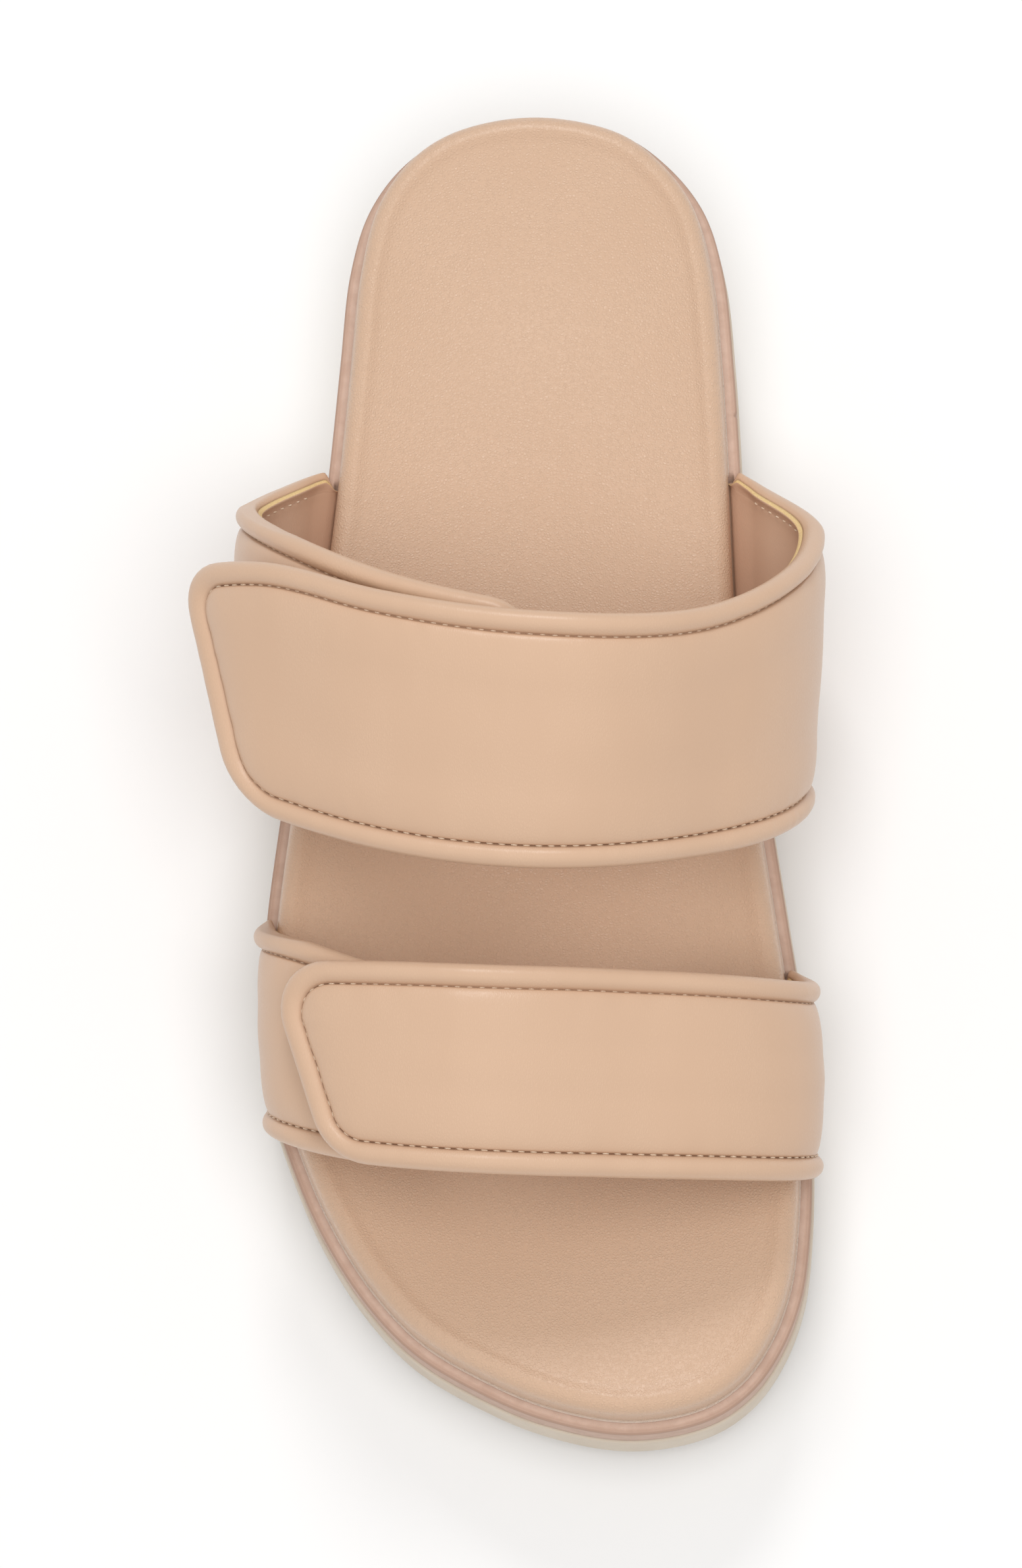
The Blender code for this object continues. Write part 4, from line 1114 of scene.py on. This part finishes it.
def liningSection():
    sizes, deep = liningSizes, strapSizes["liningDepth"]
    edge, thick, bulge = sizes["edgeInset"], sizes["thick"], sizes["bulge"]
    face = [(9 * mm, deep), (6.5 * mm, deep + 0.15 * mm), (5 * mm, deep + 0.4 * mm),
            (4.2 * mm, deep + 0.62 * mm), (4.0 * mm, deep + 0.6 * mm), (3.8 * mm, deep + 0.68 * mm),
            (3 * mm, deep + 1.1 * mm), (edge + 1.0 * mm, bulge - 0.04 * mm),
            (edge + 0.75 * mm, bulge), (edge + 0.65 * mm, bulge - 0.05 * mm)]
    back = [(edge + 0.25 * mm, bulge - 0.5 * thick), (edge, bulge - thick)]
    back += [(inset, height - thick) for inset, height in face[6:0:-3]] + [(9 * mm, deep - thick)]
    rows = []
    for inset, height in face + back:
        shade = 0.35 if 3.9 * mm < inset < 4.1 * mm else 0.0   # painted shade where the stitches pull it in
        rows.append((inset, -height, shade, ""))
    return rows, len(face)


def makeLining(name, half, seed):
    section, faceRows = liningSection()
    deep = strapSizes["liningDepth"]
    points, faces, shades, outlines = closedShell(
        half, section, seed,
        lambda share, past: -deep,
        lambda share, past: -(deep - liningSizes["thick"]))
    count = len(outlines[0])
    finishOf = np.zeros(len(faces), int)
    edgeFaces = slice((faceRows - 1) * (count - 1), (faceRows + 1) * (count - 1))
    finishOf[edgeFaces] = 1
    makePiece(name, points, faces, [liningLeather, rawLiningEdge], (),
              {"seam": shades}, finishOf)


# Stitches

stitchSizes = dict(
    pitch=2.3 * mm, length=1.35 * mm, thread=0.17 * mm, sides=6, rings=7,
    outerInset=4.38 * mm, outerHeight=0.93 * mm,
    heelSink=0.30 * mm,    # the heel edge's stitches lie deeper
    innerLength=0.95 * mm,
    innerInset=4.0 * mm, innerHeight=-2.0 * mm,
    footGap=4 * mm,        # no stitches where the strap goes under the footbed
)


def stitchRow(half, inset, height, length, skip):
    sizes = stitchSizes
    outline = outlineRing(half, inset)
    line = onHalf(half, outline, inset, height)
    out = wallNormal(half["wall"], halfAlong(half, outline[:, 0]), outline[:, 1])
    out = out * (1 if height > 0 else -1)
    if height > 0:
        sunk = (1 - seamStrength(half, outline)) / (1 - strapSizes["heelSeam"])
        line = line - out * (sizes["heelSink"] * sunk)[:, None]
    keep = outline[:, 0] > skip
    line, out = line[keep], out[keep]
    at = lengthsAlong(line)
    points, faces = [], []
    for k in range(int(at[-1] / sizes["pitch"])):
        middle = (k + 0.5) * sizes["pitch"]
        shares = np.linspace(-0.5, 0.5, sizes["rings"])
        places = middle + shares * length
        spine = np.column_stack([np.interp(places, at, line[:, i]) for i in range(3)])
        up = np.column_stack([np.interp(places, at, out[:, i]) for i in range(3)])
        up /= np.linalg.norm(up, axis=1)[:, None]
        ahead = np.gradient(spine, axis=0)
        ahead /= np.linalg.norm(ahead, axis=1)[:, None]
        beside = np.cross(ahead, up)
        slim = np.sqrt(np.clip(1 - (2 * shares) ** 4, 0.05, 1)) * sizes["thread"]
        spine = spine - up * (1.4 * sizes["thread"] * (2 * shares) ** 2)[:, None]
        # each stitch lies a little askew
        spine = spine + beside * (0.12 * sizes["thread"] * 2 * shares)[:, None]
        base = len(points) * sizes["rings"] * sizes["sides"]
        rings = []
        turns = np.linspace(0, 2 * math.pi, sizes["sides"], endpoint=False)
        for j in range(sizes["rings"]):
            ring = np.outer(np.cos(turns), beside[j]) + np.outer(np.sin(turns), up[j])
            rings.append(spine[j] + slim[j] * ring)
        points.append(np.concatenate(rings))
        faces += ringFaces(sizes["rings"], sizes["sides"], start=base)
        faces.append(tuple(range(base, base + sizes["sides"])))
        end = base + (sizes["rings"] - 1) * sizes["sides"]
        faces.append(tuple(range(end + sizes["sides"] - 1, end - 1, -1)))
    return np.concatenate(points), faces


def makeStitches(name, half):
    sizes = stitchSizes
    outer, outerFaces = stitchRow(half, sizes["outerInset"], sizes["outerHeight"], sizes["length"],
                                  sizes["footGap"])
    inner, innerFaces = stitchRow(half, sizes["innerInset"], sizes["innerHeight"], sizes["innerLength"],
                                  sizes["footGap"] + 3 * mm)
    shift = len(outer)
    faces = outerFaces + [tuple(i + shift for i in face) for face in innerFaces]
    makePiece(name, np.concatenate([outer, inner]), faces, [seamThread])


# a lower half draws in under its flap
lowerSetbacks = ((0, 0), (0.55, 0), (0.75, 2.2 * mm), (1, 5 * mm))


def makeStrap(strap, shape, seed):
    wall = makeWall(shape)
    lowerReach = shape["lowerReach"]
    upperReach = wall["length"] - shape["flapStop"]
    covered = wall["length"] - lowerReach
    run = strapSizes["liftRun"]

    def lift(s):
        sprung = np.clip(1 - (upperReach - s) / shape["springRun"], 0, strapSizes["springLimit"])
        return flapStep * smooth((s - covered + run) / (run - 2 * mm)) + shape["spring"] * sprung ** 2

    def level(s):
        return 0.0 * s

    corners = shape["flapCorners"]
    halves = {
        "lower": makeHalf(wall, False, lowerReach, 0.0, corners, lowerSetbacks, level),
        "upper": makeHalf(wall, True, upperReach, shape["flapSlant"], corners, shape["setbacks"], lift),
    }
    for k, (part, half) in enumerate(halves.items()):
        makePadded(f"{strap}_{part}_padded", half, seed + k, f"{strap}_strap_{part}")
        makeLining(f"{strap}_{part}_lining", half, seed + k)
        makeStitches(f"{strap}_{part}_stitches", half)
        print(f"{strap} strap, {part} half made")


for number, (strap, shape) in enumerate(strapShapes.items()):
    makeStrap(strap, shape, 10 * (number + 1))


# Floor, light and camera

studio = dict(
    floorSize=6.0, floorColour=(0.94, 0.94, 0.94),
    skyColour=(1.0, 0.99, 0.98), skyStrength=0.47,
    # name, place round the sandal in metres, size, watts, seen in gloss
    lights=(
        ("keySoftbox", (-0.05, 1.0, 1.25), 0.42, 5.0, True),
        ("overheadFill", (0.05, -0.35, 1.9), 1.5, 21.0, False),
    ),
)
cameraSet = dict(
    azimuth=8.0, elevation=78.0, distance=1.7, roll=-7.8,
    pixelsPerMetre=8030.0,            # of the picture, at the sandal's middle
    picture=(1552, 2380),
    middleAt=(772.6, 1126.8),         # where the sandal's middle lies in the picture
    sensor=36.0,
)


def makeFloor():
    half = studio["floorSize"] / 2
    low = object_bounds()[0].z
    mesh = bpy.data.meshes.new("studio_floor")
    corners = [(x * half, y * half, low) for x, y in ((-1, -1), (1, -1), (1, 1), (-1, 1))]
    mesh.from_pydata(corners, [], [(0, 1, 2, 3)])
    mesh.materials.append(newFinish("paleFloor", studio["floorColour"], 0.7)[0])
    floor = bpy.data.objects.new("studio_floor", mesh)
    bpy.context.scene.collection.objects.link(floor)


def makeLights():
    world = bpy.data.worlds.new("paleSky")
    bpy.context.scene.world = world
    world.use_nodes = True
    sky = world.node_tree.nodes["Background"]
    sky.inputs["Color"].default_value = (*studio["skyColour"], 1)
    sky.inputs["Strength"].default_value = studio["skyStrength"]
    for name, place, size, watts, inGloss in studio["lights"]:
        light = bpy.data.lights.new(name, "AREA")
        light.shape = "DISK"
        light.size = size
        light.energy = watts
        thing = bpy.data.objects.new(name, light)
        bpy.context.scene.collection.objects.link(thing)
        thing.visible_glossy = inGloss
        thing.location = place
        thing.rotation_euler = (-Vector(place)).to_track_quat("-Z", "Y").to_euler()


def makeCamera():
    low, high = cadBounds
    centre = (low + high) / 2
    a, e, r = (math.radians(cameraSet[name]) for name in ("azimuth", "elevation", "roll"))
    back = Vector((math.sin(a) * math.cos(e), -math.cos(a) * math.cos(e), math.sin(e)))
    level = Vector((math.cos(a), math.sin(a), 0.0))
    upright = back.cross(level)
    right = level * math.cos(r) + upright * math.sin(r)
    up = upright * math.cos(r) - level * math.sin(r)
    wide, tall = cameraSet["picture"]
    scale = cameraSet["pixelsPerMetre"]
    offX = (wide / 2 - cameraSet["middleAt"][0]) / scale
    offY = (cameraSet["middleAt"][1] - tall / 2) / scale
    camera = bpy.data.cameras.new("camera")
    camera.sensor_width = cameraSet["sensor"]
    camera.sensor_fit = "AUTO"
    camera.lens = scale * cameraSet["distance"] * cameraSet["sensor"] / tall
    camera.clip_end = 20.0
    thing = bpy.data.objects.new("camera", camera)
    bpy.context.scene.collection.objects.link(thing)
    place = centre + back * cameraSet["distance"] + right * offX + up * offY
    turn = Matrix((right, up, back)).transposed().to_4x4()
    thing.matrix_world = Matrix.Translation(place) @ turn
    bpy.context.scene.camera = thing


makeFloor()
makeLights()
makeCamera()
bpy.context.scene.view_settings.view_transform = "Standard"
print("studio made")
